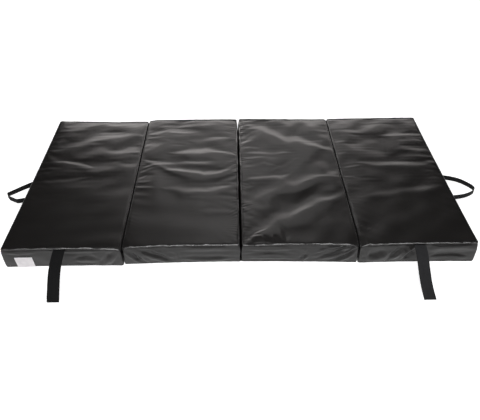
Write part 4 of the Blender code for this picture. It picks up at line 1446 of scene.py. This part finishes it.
def end_face_out(panel, y, up):
    """How far a panel's end wall stands out from the mat's end at a place."""
    side = 3 if panel == 1 else 1
    back = np.array([y - FRONT])
    across = np.array([0.0 if panel == 1 else PITCH])
    x, _ = in_plan(panel, across, back, np.array([up]))
    relief = wall_relief(panel, side, back, np.array([up]))
    end = LEFT_END if panel == 1 else RIGHT_END
    return float(abs(x[0]) - abs(end) + relief[0])


def handle_route(panel, middle_y, line):
    """Points (out, along) of a handle, from one tab round its loop to the other."""
    half = sizes().webbing_thickness / 2
    tabs = []
    for (_, root), away in ((line[0], 1), (line[-1], -1)):
        tab = []
        for share in TAB_SHARES:
            y = root + away * (TAB_LENGTH * share + TAB_CLEARANCE)
            seat = end_face_out(panel, middle_y + y, HANDLE_HEIGHT) + half + TAB_SEAT
            tab.append((seat, y))
        tab.append((tab[-1][0] + TURN_OUT, root + away * TURN_ALONG))
        tabs.append(tab)
    loop = [place for place in line[1:-1] if place[0] > LOOP_START]
    return tabs[0] + loop + tabs[1][::-1]


def make_handle(body, panel, middle_y, line, lean, softening):
    """A handle as one length of webbing: a sewn tab, the loop, and the other tab."""
    size = sizes()
    side = -1 if panel == 1 else 1
    path = softened(resampled(handle_route(panel, middle_y, line), HANDLE_POINTS), softening)
    leans = lean * smoothstep((path[:, 0] - LEAN_START) / LEAN_REACH)
    droops = -HANDLE_DROOP * np.sin(math.pi * np.linspace(0, 1, len(path))) ** 2
    centres, ups, faces = [], [], []
    for (out, along), (ahead_out, ahead_along), tilt, droop in zip(path, directions(path), leans, droops):
        flat = np.array([side * ahead_along, -ahead_out, 0.0])
        centres.append(np.array([side * (RIGHT_END + out), middle_y + along, HANDLE_HEIGHT + droop]))
        ups.append(np.array([0.0, 0.0, math.cos(tilt)]) + flat * math.sin(tilt))
        faces.append(flat * math.cos(tilt) - np.array([0.0, 0.0, math.sin(tilt)]))
    name = f"{body}_webbing"
    mesh = strip_mesh(name, centres, ups, faces, size.webbing_width, size.webbing_thickness)
    handle = finish_piece(name, mesh, webbing_material())
    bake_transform(handle)
    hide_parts(body, f"{body}_tab_back", f"{body}_tab_front")
    rows = []
    for (_, root), away in ((line[0], 1), (line[-1], -1)):
        rows += tab_stitches(panel, side, middle_y, root, away)
    dress(stitch_along(f"{name}_stitches", rows, True), f"panel_{panel}", "webbing")


def tab_stitches(panel, side, middle_y, root, away):
    """A sewn box with a cross on a handle's tab, as closed lines."""
    low, high = root + away * BOX_START, root + away * (TAB_LENGTH - BOX_MARGIN)
    reach = sizes().webbing_width / 2 - BOX_EDGE
    box = [(low, -reach), (high, -reach), (high, reach), (low, reach), (low, -reach)]
    slants = [[(low, -reach), (high, reach)], [(low, reach), (high, -reach)]]
    lines = []
    for corners in (box, *(slant + slant[:1] for slant in slants)):
        points = []
        for y, z in resampled(corners, BOX_POINTS)[:-1]:
            seat = end_face_out(panel, middle_y + y, HANDLE_HEIGHT) + sizes().webbing_thickness + BOX_LIFT
            points.append((side * (RIGHT_END + seat), middle_y + y, HANDLE_HEIGHT + z))
        lines.append(points)
    return lines


def make_handles():
    left, right = left_handle_line(), right_handle_line()
    make_handle("handle_left", 1, LEFT_HANDLE_Y, left, LEFT_HANDLE_LEAN, LEFT_HANDLE_SOFTENING)
    make_handle("handle_right", len(PANELS), RIGHT_HANDLE_Y, right, RIGHT_HANDLE_LEAN, RIGHT_HANDLE_SOFTENING)


# Closing straps
STRAP_THICKNESS = 0.0015
TAPE_THICKNESS = 0.0012
TAPE_GAP = 0.0001
STRAP_START_HEIGHT = 0.097
STRAP_AXIS_OUT = 0.002
STRAP_POINTS = 61
STRAP_FLOOR_GAP = 0.0003
STRAP_DRIFT = 0.003
STRAP_DRIFT_START = 0.35

# A strap's fall in degrees at shares of its length, scaled together until its tip meets the floor
LEFT_STRAP_SLOPES = ((0.0, 5), (0.3, 18), (0.6, 37), (1.0, 46))
RIGHT_STRAP_SLOPES = ((0.0, 8), (0.3, 36), (0.6, 34), (1.0, 8))
SCALE_RANGE = (0.0, 2.0)
SCALE_TRIES = 40

# Shares of a strap's points where its hook tape starts and ends
HOOK_TAPE = (0.52, 0.95)
HOOK_TAPE_MARGIN = 0.003
LOOP_TAPE_MARGIN = 0.001

# Points (out, up) of the sewn end, the second from the top of the strap's start
STRAP_TAB = ((-0.0045, 0.0004), (-0.002, 0.0003), (0.0, 0.0), (0.0018, -0.0002))


def strap_line(slopes, length):
    """Points (out, up) of a strap's upper side, from its seam to its tip on the floor."""
    steps = STRAP_POINTS - 1
    stack = STRAP_THICKNESS + TAPE_THICKNESS + STRAP_FLOOR_GAP
    run = length / steps

    def drawn(scale):
        points = [(STRAP_AXIS_OUT, STRAP_START_HEIGHT)]
        for i in range(steps):
            fall = math.radians(scale * float(np.interp((i + 0.5) / steps, *zip(*slopes))))
            out, up = points[-1]
            points.append((out + math.cos(fall) * run, up - math.sin(fall) * run))
        return points, points[-1][1] - math.cos(fall) * stack

    low, high = SCALE_RANGE
    for _ in range(SCALE_TRIES):
        scale = (low + high) / 2
        low, high = (scale, high) if drawn(scale)[1] > STRAP_FLOOR_GAP else (low, scale)
    return np.array(drawn(low)[0])


def strap_strip(name, line, middle_x, width, below, thickness, drift, material):
    """A flat strip below a strap's line. drift is how far the strip's tip turns aside."""
    share = np.linspace(0, 1, len(line))
    shift = drift * smoothstep((share - STRAP_DRIFT_START) / (1 - STRAP_DRIFT_START))
    turn = np.gradient(shift, line[:, 0])
    centres, sideways, facing = [], [], []
    for (out, up), (a_out, a_up), aside, slope in zip(line, directions(line), shift, turn):
        normal = np.array([0.0, a_up, a_out])
        centre = np.array([middle_x + aside, FRONT - out, up]) - normal * (below + thickness / 2)
        way = np.array([1.0, slope, 0.0])
        centres.append(centre)
        sideways.append(way / np.linalg.norm(way))
        facing.append(normal)
    mesh = strip_mesh(name, centres, sideways, facing, width, thickness)
    return finish_piece(name, mesh, material)


def bend_strap(strip, body, line, middle_x, slot, *nodes):
    """Keeps a strip where it lies, and hides the CAD nodes that it stands for."""
    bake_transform(strip)
    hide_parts(*nodes)


def strap_tab(body, panel, middle_x, thickness):
    """The sewn end that comes out from under the rolled seam."""
    line = np.array([(out, STRAP_START_HEIGHT + up) for out, up in STRAP_TAB])
    name = f"{body}_tab_piece"
    tab = strap_strip(name, line, middle_x, sizes().strap_width, 0.0, thickness, 0.0, webbing_material())
    dress(tab, f"panel_{panel}", "webbing", f"{body}_tab")


def strap_piece(body, line, below):
    """A strap's webbing, as far below its line as the tape on top of it is thick."""
    width = sizes().strap_width
    middle_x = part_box(f"{body}_root")[0].x + width / 2
    name = f"{body}_webbing"
    strap = strap_strip(name, line, middle_x, width, below, STRAP_THICKNESS, STRAP_DRIFT, webbing_material())
    bend_strap(strap, body, line, middle_x, "webbing", f"{body}_root", f"{body}_end")
    return width, middle_x


def make_left_strap():
    """Webbing with hook tape under its outer half."""
    line = strap_line(LEFT_STRAP_SLOPES, sizes().left_strap_length)
    width, middle_x = strap_piece("strap_left", line, 0.0)
    first, last = [int(len(line) * share) for share in HOOK_TAPE]
    hooks = strap_strip(
        "strap_left_hooks", line[first:last], middle_x, width - HOOK_TAPE_MARGIN, STRAP_THICKNESS + TAPE_GAP,
        TAPE_THICKNESS, 0.0, tape_material("hook_tape", True),
    )
    bend_strap(hooks, "strap_left", line, middle_x, "hook_tape", "strap_left_hook_tape")
    strap_tab("strap_left", 1, middle_x, STRAP_THICKNESS)


def make_right_strap():
    """Webbing with loop tape over its whole upper side."""
    line = strap_line(RIGHT_STRAP_SLOPES, sizes().right_strap_length)
    below = TAPE_THICKNESS + TAPE_GAP
    width, middle_x = strap_piece("strap_right", line, below)
    loops = strap_strip(
        "strap_right_loops", line, middle_x, width - LOOP_TAPE_MARGIN, 0.0, TAPE_THICKNESS, STRAP_DRIFT,
        tape_material("loop_tape", False),
    )
    nodes = ("strap_right_loop_tape_root", "strap_right_loop_tape_end")
    bend_strap(loops, "strap_right", line, middle_x, "loop_tape", *nodes)
    strap_tab("strap_right", len(PANELS), middle_x, below + STRAP_THICKNESS)


def make_straps():
    make_left_strap()
    make_right_strap()


# Fold webs
WEB_FLANGE = 0.030
WEB_THICKNESS = 0.0008
WEB_MARGIN = 0.004
WEB_STEPS = 120
WEB_SAG = 0.0004
WEB_FLOOR_GAP = 0.0004
WEB_WALL_GAP = 0.0003

# Across the fold: a flange's points as shares of its width, the lips over the fold, and the points in all
FLANGE_SHARES = (1.0, 0.75, 0.5, 0.25, 0.08)
FLANGE_START = 0.001
LIP_SHARE = 0.45
LIP_DROP = 0.0006
WEB_PROFILE_POINTS = 40
WEB_SOFTENING = 2


def web_seat(line, up):
    """How far from the fold a web lies against the walls beside it."""
    return max(float(half_gap(line, np.array(up))) - WEB_THICKNESS / 2 - WEB_WALL_GAP, 0.0)


def web_dip(left, right, y):
    """How far a top web drops with the rims beside it."""
    back = np.array([y - FRONT])
    drops = [rim_drop(left, np.array([PITCH]), back)[0], rim_drop(right, np.array([0.0]), back)[0]]
    return float(max(drops))


def web_profile(line, level, away):
    """Points (x, up) across a fold: up one wall, over the fold and down the other."""
    profile = []
    for side in (-1, 1):
        run = []
        for share in FLANGE_SHARES:
            up = level + away * (WEB_FLANGE * share + FLANGE_START)
            run.append((FOLD_LINES[line] + side * web_seat(line, up), up))
        run.append((FOLD_LINES[line] + side * web_seat(line, level) * LIP_SHARE, level + away * LIP_DROP))
        profile += run if side < 0 else run[::-1]
    return softened(resampled(profile, WEB_PROFILE_POINTS), WEB_SOFTENING)


def web_section(profile):
    """A web's two faces, half its thickness to each side of its profile, as one closed section."""
    half = WEB_THICKNESS / 2
    ahead = directions(profile)
    outer = [(x - dz * half, z + dx * half) for (x, z), (dx, dz) in zip(profile, ahead)]
    inner = [(x + dz * half, z - dx * half) for (x, z), (dx, dz) in zip(profile, ahead)]
    return outer + inner[::-1]


def web_mesh(name, left, right, section, ys, on_top):
    """A web's section repeated from front to back. It sags a little, and at the top drops with the rims."""
    points = []
    for y in ys:
        drop = web_dip(left, right, y) if on_top else 0.0
        sag = WEB_SAG * float(waves(np.array([y]), np.zeros(1), left, 6, 0.03, 0.2)[0])
        lift = sag if on_top else max(sag, 0.0)
        points += [(x, y, z - drop + lift) for x, z in section]
    size = len(section)
    faces = section_faces(len(ys), size)
    for ring in (0, (len(ys) - 1) * size):
        for j in range(size // 2 - 1):
            faces.append((ring + j, ring + j + 1, ring + size - 2 - j, ring + size - 1 - j))
    bm = bmesh.new()
    verts = [bm.verts.new(p) for p in points]
    for face in faces:
        bm.faces.new([verts[i] for i in face])
    return mesh_from(bm, name)


def make_fold_webs():
    """The fabric hinge in each fold: a strip sewn down one wall, across the fold and down the other."""
    for left, right in FOLDS:
        name = f"fold_web_{left}_{right}"
        leaves = [f"{name}_on_panel_{panel}" for panel in (left, right)]
        low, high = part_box(leaves[0])
        on_top = high.z > RIM_HEIGHT / 2
        level = high.z if on_top else low.z + WEB_FLOOR_GAP
        away = -1 if on_top else 1
        profile = web_profile(left, level, away)
        ys = np.linspace(FRONT + WEB_MARGIN, BACK - WEB_MARGIN, WEB_STEPS)
        mesh = web_mesh(name, left, right, web_section(profile), ys, on_top)
        web = finish_piece(name, mesh, hinge_material())
        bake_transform(web)
        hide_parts(*leaves)


# Care label
LABEL_GRID = (25, 20)
LABEL_THICKNESS = 0.0004
LABEL_SLANT = 0.003
LABEL_CURL = 0.0012
LABEL_WAVE = 0.0004
LABEL_WALL_GAP = 0.0011
LABEL_FARTHEST_IN = 0.0016


def make_care_label():
    """A blank label that hangs down the front face from a seam near the mat's left end."""
    low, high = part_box("care_label")
    width, drop = high.x - low.x, high.z - low.z
    u, w = np.meshgrid(*[np.linspace(0, 1, count) for count in LABEL_GRID], indexing="ij")
    x = low.x + width * u + LABEL_SLANT * (1 - w)
    z = low.z + drop * w
    across = x - LEFT_END
    _, wall_y = in_plan(1, across, np.zeros(across.shape), z)
    wall_y = wall_y - wall_relief(1, 0, across, z)
    curl = LABEL_CURL * (1 - w) * (0.6 + 0.4 * np.sin(5 * u)) + LABEL_WAVE * waves(u, w, 5, 6, 0.4, 1.5)
    y = np.minimum(wall_y - LABEL_WALL_GAP - curl, low.y + LABEL_FARTHEST_IN)
    faces = [np.stack([x, face_y, z], axis=-1) for face_y in (y - LABEL_THICKNESS, y)]
    name = "care_label_piece"
    label = finish_piece(name, slab_mesh(name, *faces), label_material())
    dress(label, "panel_1", "label_satin", "care_label")


# Zips
TOOTH_LENGTH = 0.0012
TOOTH_WIDTH = 0.0012
TOOTH_HEIGHT = 0.0030
TOOTH_ROW_OFFSET = 0.0010
TEETH_SINK = 0.0004
TEETH_MARGIN = 0.003
ZIP_TAPE_THICKNESS = 0.0009
ZIP_STITCH_MARGINS = (0.002, 0.003)
ZIP_STITCH_POINTS = 60


def zip_teeth(panel, low, high):
    """Two rows of teeth, half a step apart, along a zip's chain."""
    step = sizes().zip_tooth_pitch
    rows = []
    for side in (-1, 1):
        z = (low.z + high.z) / 2 + side * TOOTH_ROW_OFFSET
        ends = (low.x + TEETH_MARGIN + side * step / 4, high.x - TEETH_MARGIN)
        rows.append([(x, high.y - TEETH_SINK, z) for x in ends])
    return beads_along(
        f"zip_teeth_{panel}", rows, False, zip_coil_material(),
        pitch=step, bead_length=TOOTH_LENGTH, bead_width=TOOTH_WIDTH, bead_height=TOOTH_HEIGHT,
    )


def zip_stitches(panel, low, high):
    """Two rows of stitches along a zip's tape."""
    along, aside = ZIP_STITCH_MARGINS
    xs = np.linspace(low.x + along, high.x - along, ZIP_STITCH_POINTS)
    lines = []
    for z in (low.z + aside, high.z - aside):
        lines.append([(x, low.y + ZIP_TAPE_THICKNESS, z) for x in xs])
    return stitch_along(f"zip_stitches_{panel}", lines)


def make_zips():
    """Teeth on each zip's chain, stitches along its tape, and finishes for the CAD pieces."""
    metal = zip_metal_material
    finishes = (("zip", zip_tape_material), ("zip_slider", metal), ("zip_pull", metal))
    for panel in PANELS:
        low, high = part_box(f"zip_{panel}")
        for piece in (zip_teeth(panel, low, high), zip_stitches(panel, low, high)):
            dress(piece, f"panel_{panel}", "zip_tape")
        for name, finish in finishes:
            mesh = frame["nodes"][f"{name}_{panel}"].data
            mesh.materials.clear()
            mesh.materials.append(finish())


# Stage
CAMERA_PLACE = (-0.0271, -1.9501, 1.5993)
CAMERA_PITCH = math.radians(41.755)
CAMERA_YAW = math.radians(-0.929)
CAMERA_ROLL = math.radians(0.086)
FOCAL_PIXELS = 498.9
IMAGE_WIDTH = 480
SENSOR_WIDTH = 36.0

# The world's light at two heights on the sky, as shares of its full strength
WORLD_HEIGHTS = (0.02, 0.46)
WORLD_LIGHTS = (1.0, 0.125)
FLOOR_REACH = 14.0
FLOOR_GLOW = 0.75

# Soft lamps: name, place, where it points, width and height, power and colour
LAMPS = (
    ("back_left_softbox", (-0.85, 3.1, 1.00), (-0.4, 0.2, 0.0), (1.9, 0.8), 21.5, (1.0, 0.955, 0.94)),
    ("back_middle_softbox", (0.65, 3.1, 1.00), (0.3, 0.2, 0.0), (1.1, 0.8), 9.5, (1.0, 0.955, 0.94)),
    ("back_right_softbox", (1.75, 3.1, 1.00), (0.8, 0.2, 0.0), (1.1, 0.8), 8.0, (1.0, 0.955, 0.94)),
    ("high_back_softbox", (0.15, 3.2, 3.3), (0.05, 0.0, 0.0), (2.0, 1.0), 13.0, (1.0, 0.98, 0.97)),
    ("front_softbox", (0.2, -2.6, 3.0), (0.1, -0.2, 0.0), (5.2, 0.50), 98.0, (1.0, 1.0, 1.0)),
    ("low_front_softbox", (-1.0, -3.3, 1.15), (-0.4, -0.5, 0.0), (2.6, 0.25), 7.0, (1.0, 1.0, 1.0)),
    ("overhead_softbox", (0.0, -1.0, 3.4), (0.0, 0.0, 0.0), (3.0, 1.6), 17.0, (1.0, 1.0, 1.0)),
    ("left_softbox", (-3.2, -1.0, 2.0), (-0.3, 0.0, 0.0), (1.6, 2.2), 10.0, (1.0, 1.0, 1.0)),
    ("right_softbox", (3.2, -0.4, 2.4), (0.3, 0.0, 0.0), (1.6, 2.2), 3.0, (1.0, 1.0, 1.0)),
)


def make_camera():
    data = bpy.data.cameras.new("photo_camera")
    data.sensor_fit = "HORIZONTAL"
    data.sensor_width = SENSOR_WIDTH
    data.lens = FOCAL_PIXELS / IMAGE_WIDTH * SENSOR_WIDTH
    camera = bpy.data.objects.new("photo_camera", data)
    bpy.context.scene.collection.objects.link(camera)
    look = Matrix.Rotation(CAMERA_YAW, 4, "Z") @ Matrix.Rotation(math.pi / 2 - CAMERA_PITCH, 4, "X")
    camera.matrix_world = Matrix.Translation(CAMERA_PLACE) @ look @ Matrix.Rotation(-CAMERA_ROLL, 4, "Z")
    bpy.context.scene.camera = camera


def make_lamps():
    for name, place, target, extent, power, colour in LAMPS:
        data = bpy.data.lights.new(name, "AREA")
        data.shape = "RECTANGLE"
        data.size, data.size_y = extent
        data.energy = power
        data.color = colour
        lamp = bpy.data.objects.new(name, data)
        bpy.context.scene.collection.objects.link(lamp)
        lamp.location = place
        lamp.rotation_euler = (Vector(target) - Vector(place)).to_track_quat("-Z", "Y").to_euler()


def make_world():
    """A dim studio, a little brighter near the floor than overhead."""
    world = bpy.data.worlds.new("studio")
    bpy.context.scene.world = world
    world.use_nodes = True
    nodes, links = world.node_tree.nodes, world.node_tree.links
    place = nodes.new("ShaderNodeTexCoord")
    split = nodes.new("ShaderNodeSeparateXYZ")
    level = nodes.new("ShaderNodeMapRange")
    level.interpolation_type = "SMOOTHSTEP"
    level.inputs["From Min"].default_value, level.inputs["From Max"].default_value = WORLD_HEIGHTS
    level.inputs["To Min"].default_value, level.inputs["To Max"].default_value = WORLD_LIGHTS
    links.new(place.outputs["Generated"], split.inputs["Vector"])
    links.new(split.outputs["Z"], level.inputs["Value"])
    links.new(level.outputs["Result"], nodes["Background"].inputs["Strength"])


def make_floor():
    """A pale floor that looks near white and still takes the mat's shadow."""
    mesh = bpy.data.meshes.new("floor")
    corners = [(x * FLOOR_REACH, y * FLOOR_REACH, 0) for x, y in ((-1, -1), (1, -1), (1, 1), (-1, 1))]
    mesh.from_pydata(corners, [], [(0, 1, 2, 3)])
    made = Shader("pale_floor", colours().floor, 0.9, specular=0.1)
    path = made.node("ShaderNodeLightPath")
    glow = made.node("ShaderNodeEmission")
    glow.inputs["Color"].default_value = (1.0, 1.0, 1.0, 1.0)
    glow.inputs["Strength"].default_value = FLOOR_GLOW
    total = made.node("ShaderNodeAddShader")
    seen = made.node("ShaderNodeMixShader")
    output = made.tree.nodes["Material Output"]
    looks = made.maths("MAXIMUM", path.outputs["Is Camera Ray"], path.outputs["Is Glossy Ray"])
    looks = made.maths("MAXIMUM", looks, path.outputs["Is Transmission Ray"])
    made.link(made.surface.outputs["BSDF"], total.inputs[0])
    made.link(glow.outputs["Emission"], total.inputs[1])
    made.link(looks, seen.inputs["Fac"])
    made.link(made.surface.outputs["BSDF"], seen.inputs[1])
    made.link(total.outputs["Shader"], seen.inputs[2])
    made.link(seen.outputs["Shader"], output.inputs["Surface"])
    mesh.materials.append(made.material)
    floor = bpy.data.objects.new("floor", mesh)
    bpy.context.scene.collection.objects.link(floor)


def make_stage():
    bpy.context.scene.view_settings.view_transform = "Standard"
    make_camera()
    make_lamps()
    make_world()
    make_floor()


# Operators
class CRASHMAT_OT_stage(bpy.types.Operator):
    """Set the camera, lamps, world and floor"""

    bl_idname = "crash_mat.stage"
    bl_label = "Stage"

    def execute(self, context):
        make_stage()
        return {"FINISHED"}


class CRASHMAT_OT_foam(bpy.types.Operator):
    """Make the foam cores"""

    bl_idname = "crash_mat.foam"
    bl_label = "Foam"

    def execute(self, context):
        make_foam()
        return {"FINISHED"}


class CRASHMAT_OT_covers(bpy.types.Operator):
    """Make the slack covers"""

    bl_idname = "crash_mat.covers"
    bl_label = "Covers"

    def execute(self, context):
        make_covers()
        return {"FINISHED"}


class CRASHMAT_OT_seams(bpy.types.Operator):
    """Make the rolled seams and their stitches"""

    bl_idname = "crash_mat.seams"
    bl_label = "Seams"

    def execute(self, context):
        make_seams()
        return {"FINISHED"}


class CRASHMAT_OT_fold_webs(bpy.types.Operator):
    """Make the fabric hinges"""

    bl_idname = "crash_mat.fold_webs"
    bl_label = "Fold webs"

    def execute(self, context):
        make_fold_webs()
        return {"FINISHED"}


class CRASHMAT_OT_handles(bpy.types.Operator):
    """Make the webbing handles"""

    bl_idname = "crash_mat.handles"
    bl_label = "Handles"

    def execute(self, context):
        make_handles()
        return {"FINISHED"}


class CRASHMAT_OT_straps(bpy.types.Operator):
    """Make the closing straps"""

    bl_idname = "crash_mat.straps"
    bl_label = "Closing straps"

    def execute(self, context):
        make_straps()
        return {"FINISHED"}


class CRASHMAT_OT_care_label(bpy.types.Operator):
    """Make the blank label"""

    bl_idname = "crash_mat.care_label"
    bl_label = "Care label"

    def execute(self, context):
        make_care_label()
        return {"FINISHED"}


class CRASHMAT_OT_zips(bpy.types.Operator):
    """Make the zips' teeth and stitches, and finish their tape and metal"""

    bl_idname = "crash_mat.zips"
    bl_label = "Zips"

    def execute(self, context):
        make_zips()
        return {"FINISHED"}


OPERATORS = (
    CRASHMAT_OT_stage,
    CRASHMAT_OT_foam,
    CRASHMAT_OT_covers,
    CRASHMAT_OT_seams,
    CRASHMAT_OT_fold_webs,
    CRASHMAT_OT_handles,
    CRASHMAT_OT_straps,
    CRASHMAT_OT_care_label,
    CRASHMAT_OT_zips,
)


class CRASHMAT_PT_panel(bpy.types.Panel):
    """Lists the mat's pieces, sizes and colours"""

    bl_idname = "CRASHMAT_PT_panel"
    bl_label = "Crash mat"
    bl_space_type = "VIEW_3D"
    bl_region_type = "UI"
    bl_category = "Crash mat"

    def draw(self, context):
        for operator in OPERATORS:
            self.layout.operator(operator.bl_idname)
        for group in (context.scene.crash_mat_sizes, context.scene.crash_mat_colours):
            for name in group.bl_rna.properties.keys():
                if name not in ("rna_type", "name"):
                    self.layout.prop(group, name)


CLASSES = (CrashMatSizes, CrashMatColours, *OPERATORS, CRASHMAT_PT_panel)


def register():
    for cls in CLASSES:
        bpy.utils.register_class(cls)
    bpy.types.Scene.crash_mat_sizes = PointerProperty(type=CrashMatSizes)
    bpy.types.Scene.crash_mat_colours = PointerProperty(type=CrashMatColours)


def unregister():
    del bpy.types.Scene.crash_mat_colours
    del bpy.types.Scene.crash_mat_sizes
    for cls in reversed(CLASSES):
        bpy.utils.unregister_class(cls)


def main():
    register()
    for operator in OPERATORS:
        group, name = operator.bl_idname.split(".")
        getattr(getattr(bpy.ops, group), name)()


if __name__ == "__main__":
    main()
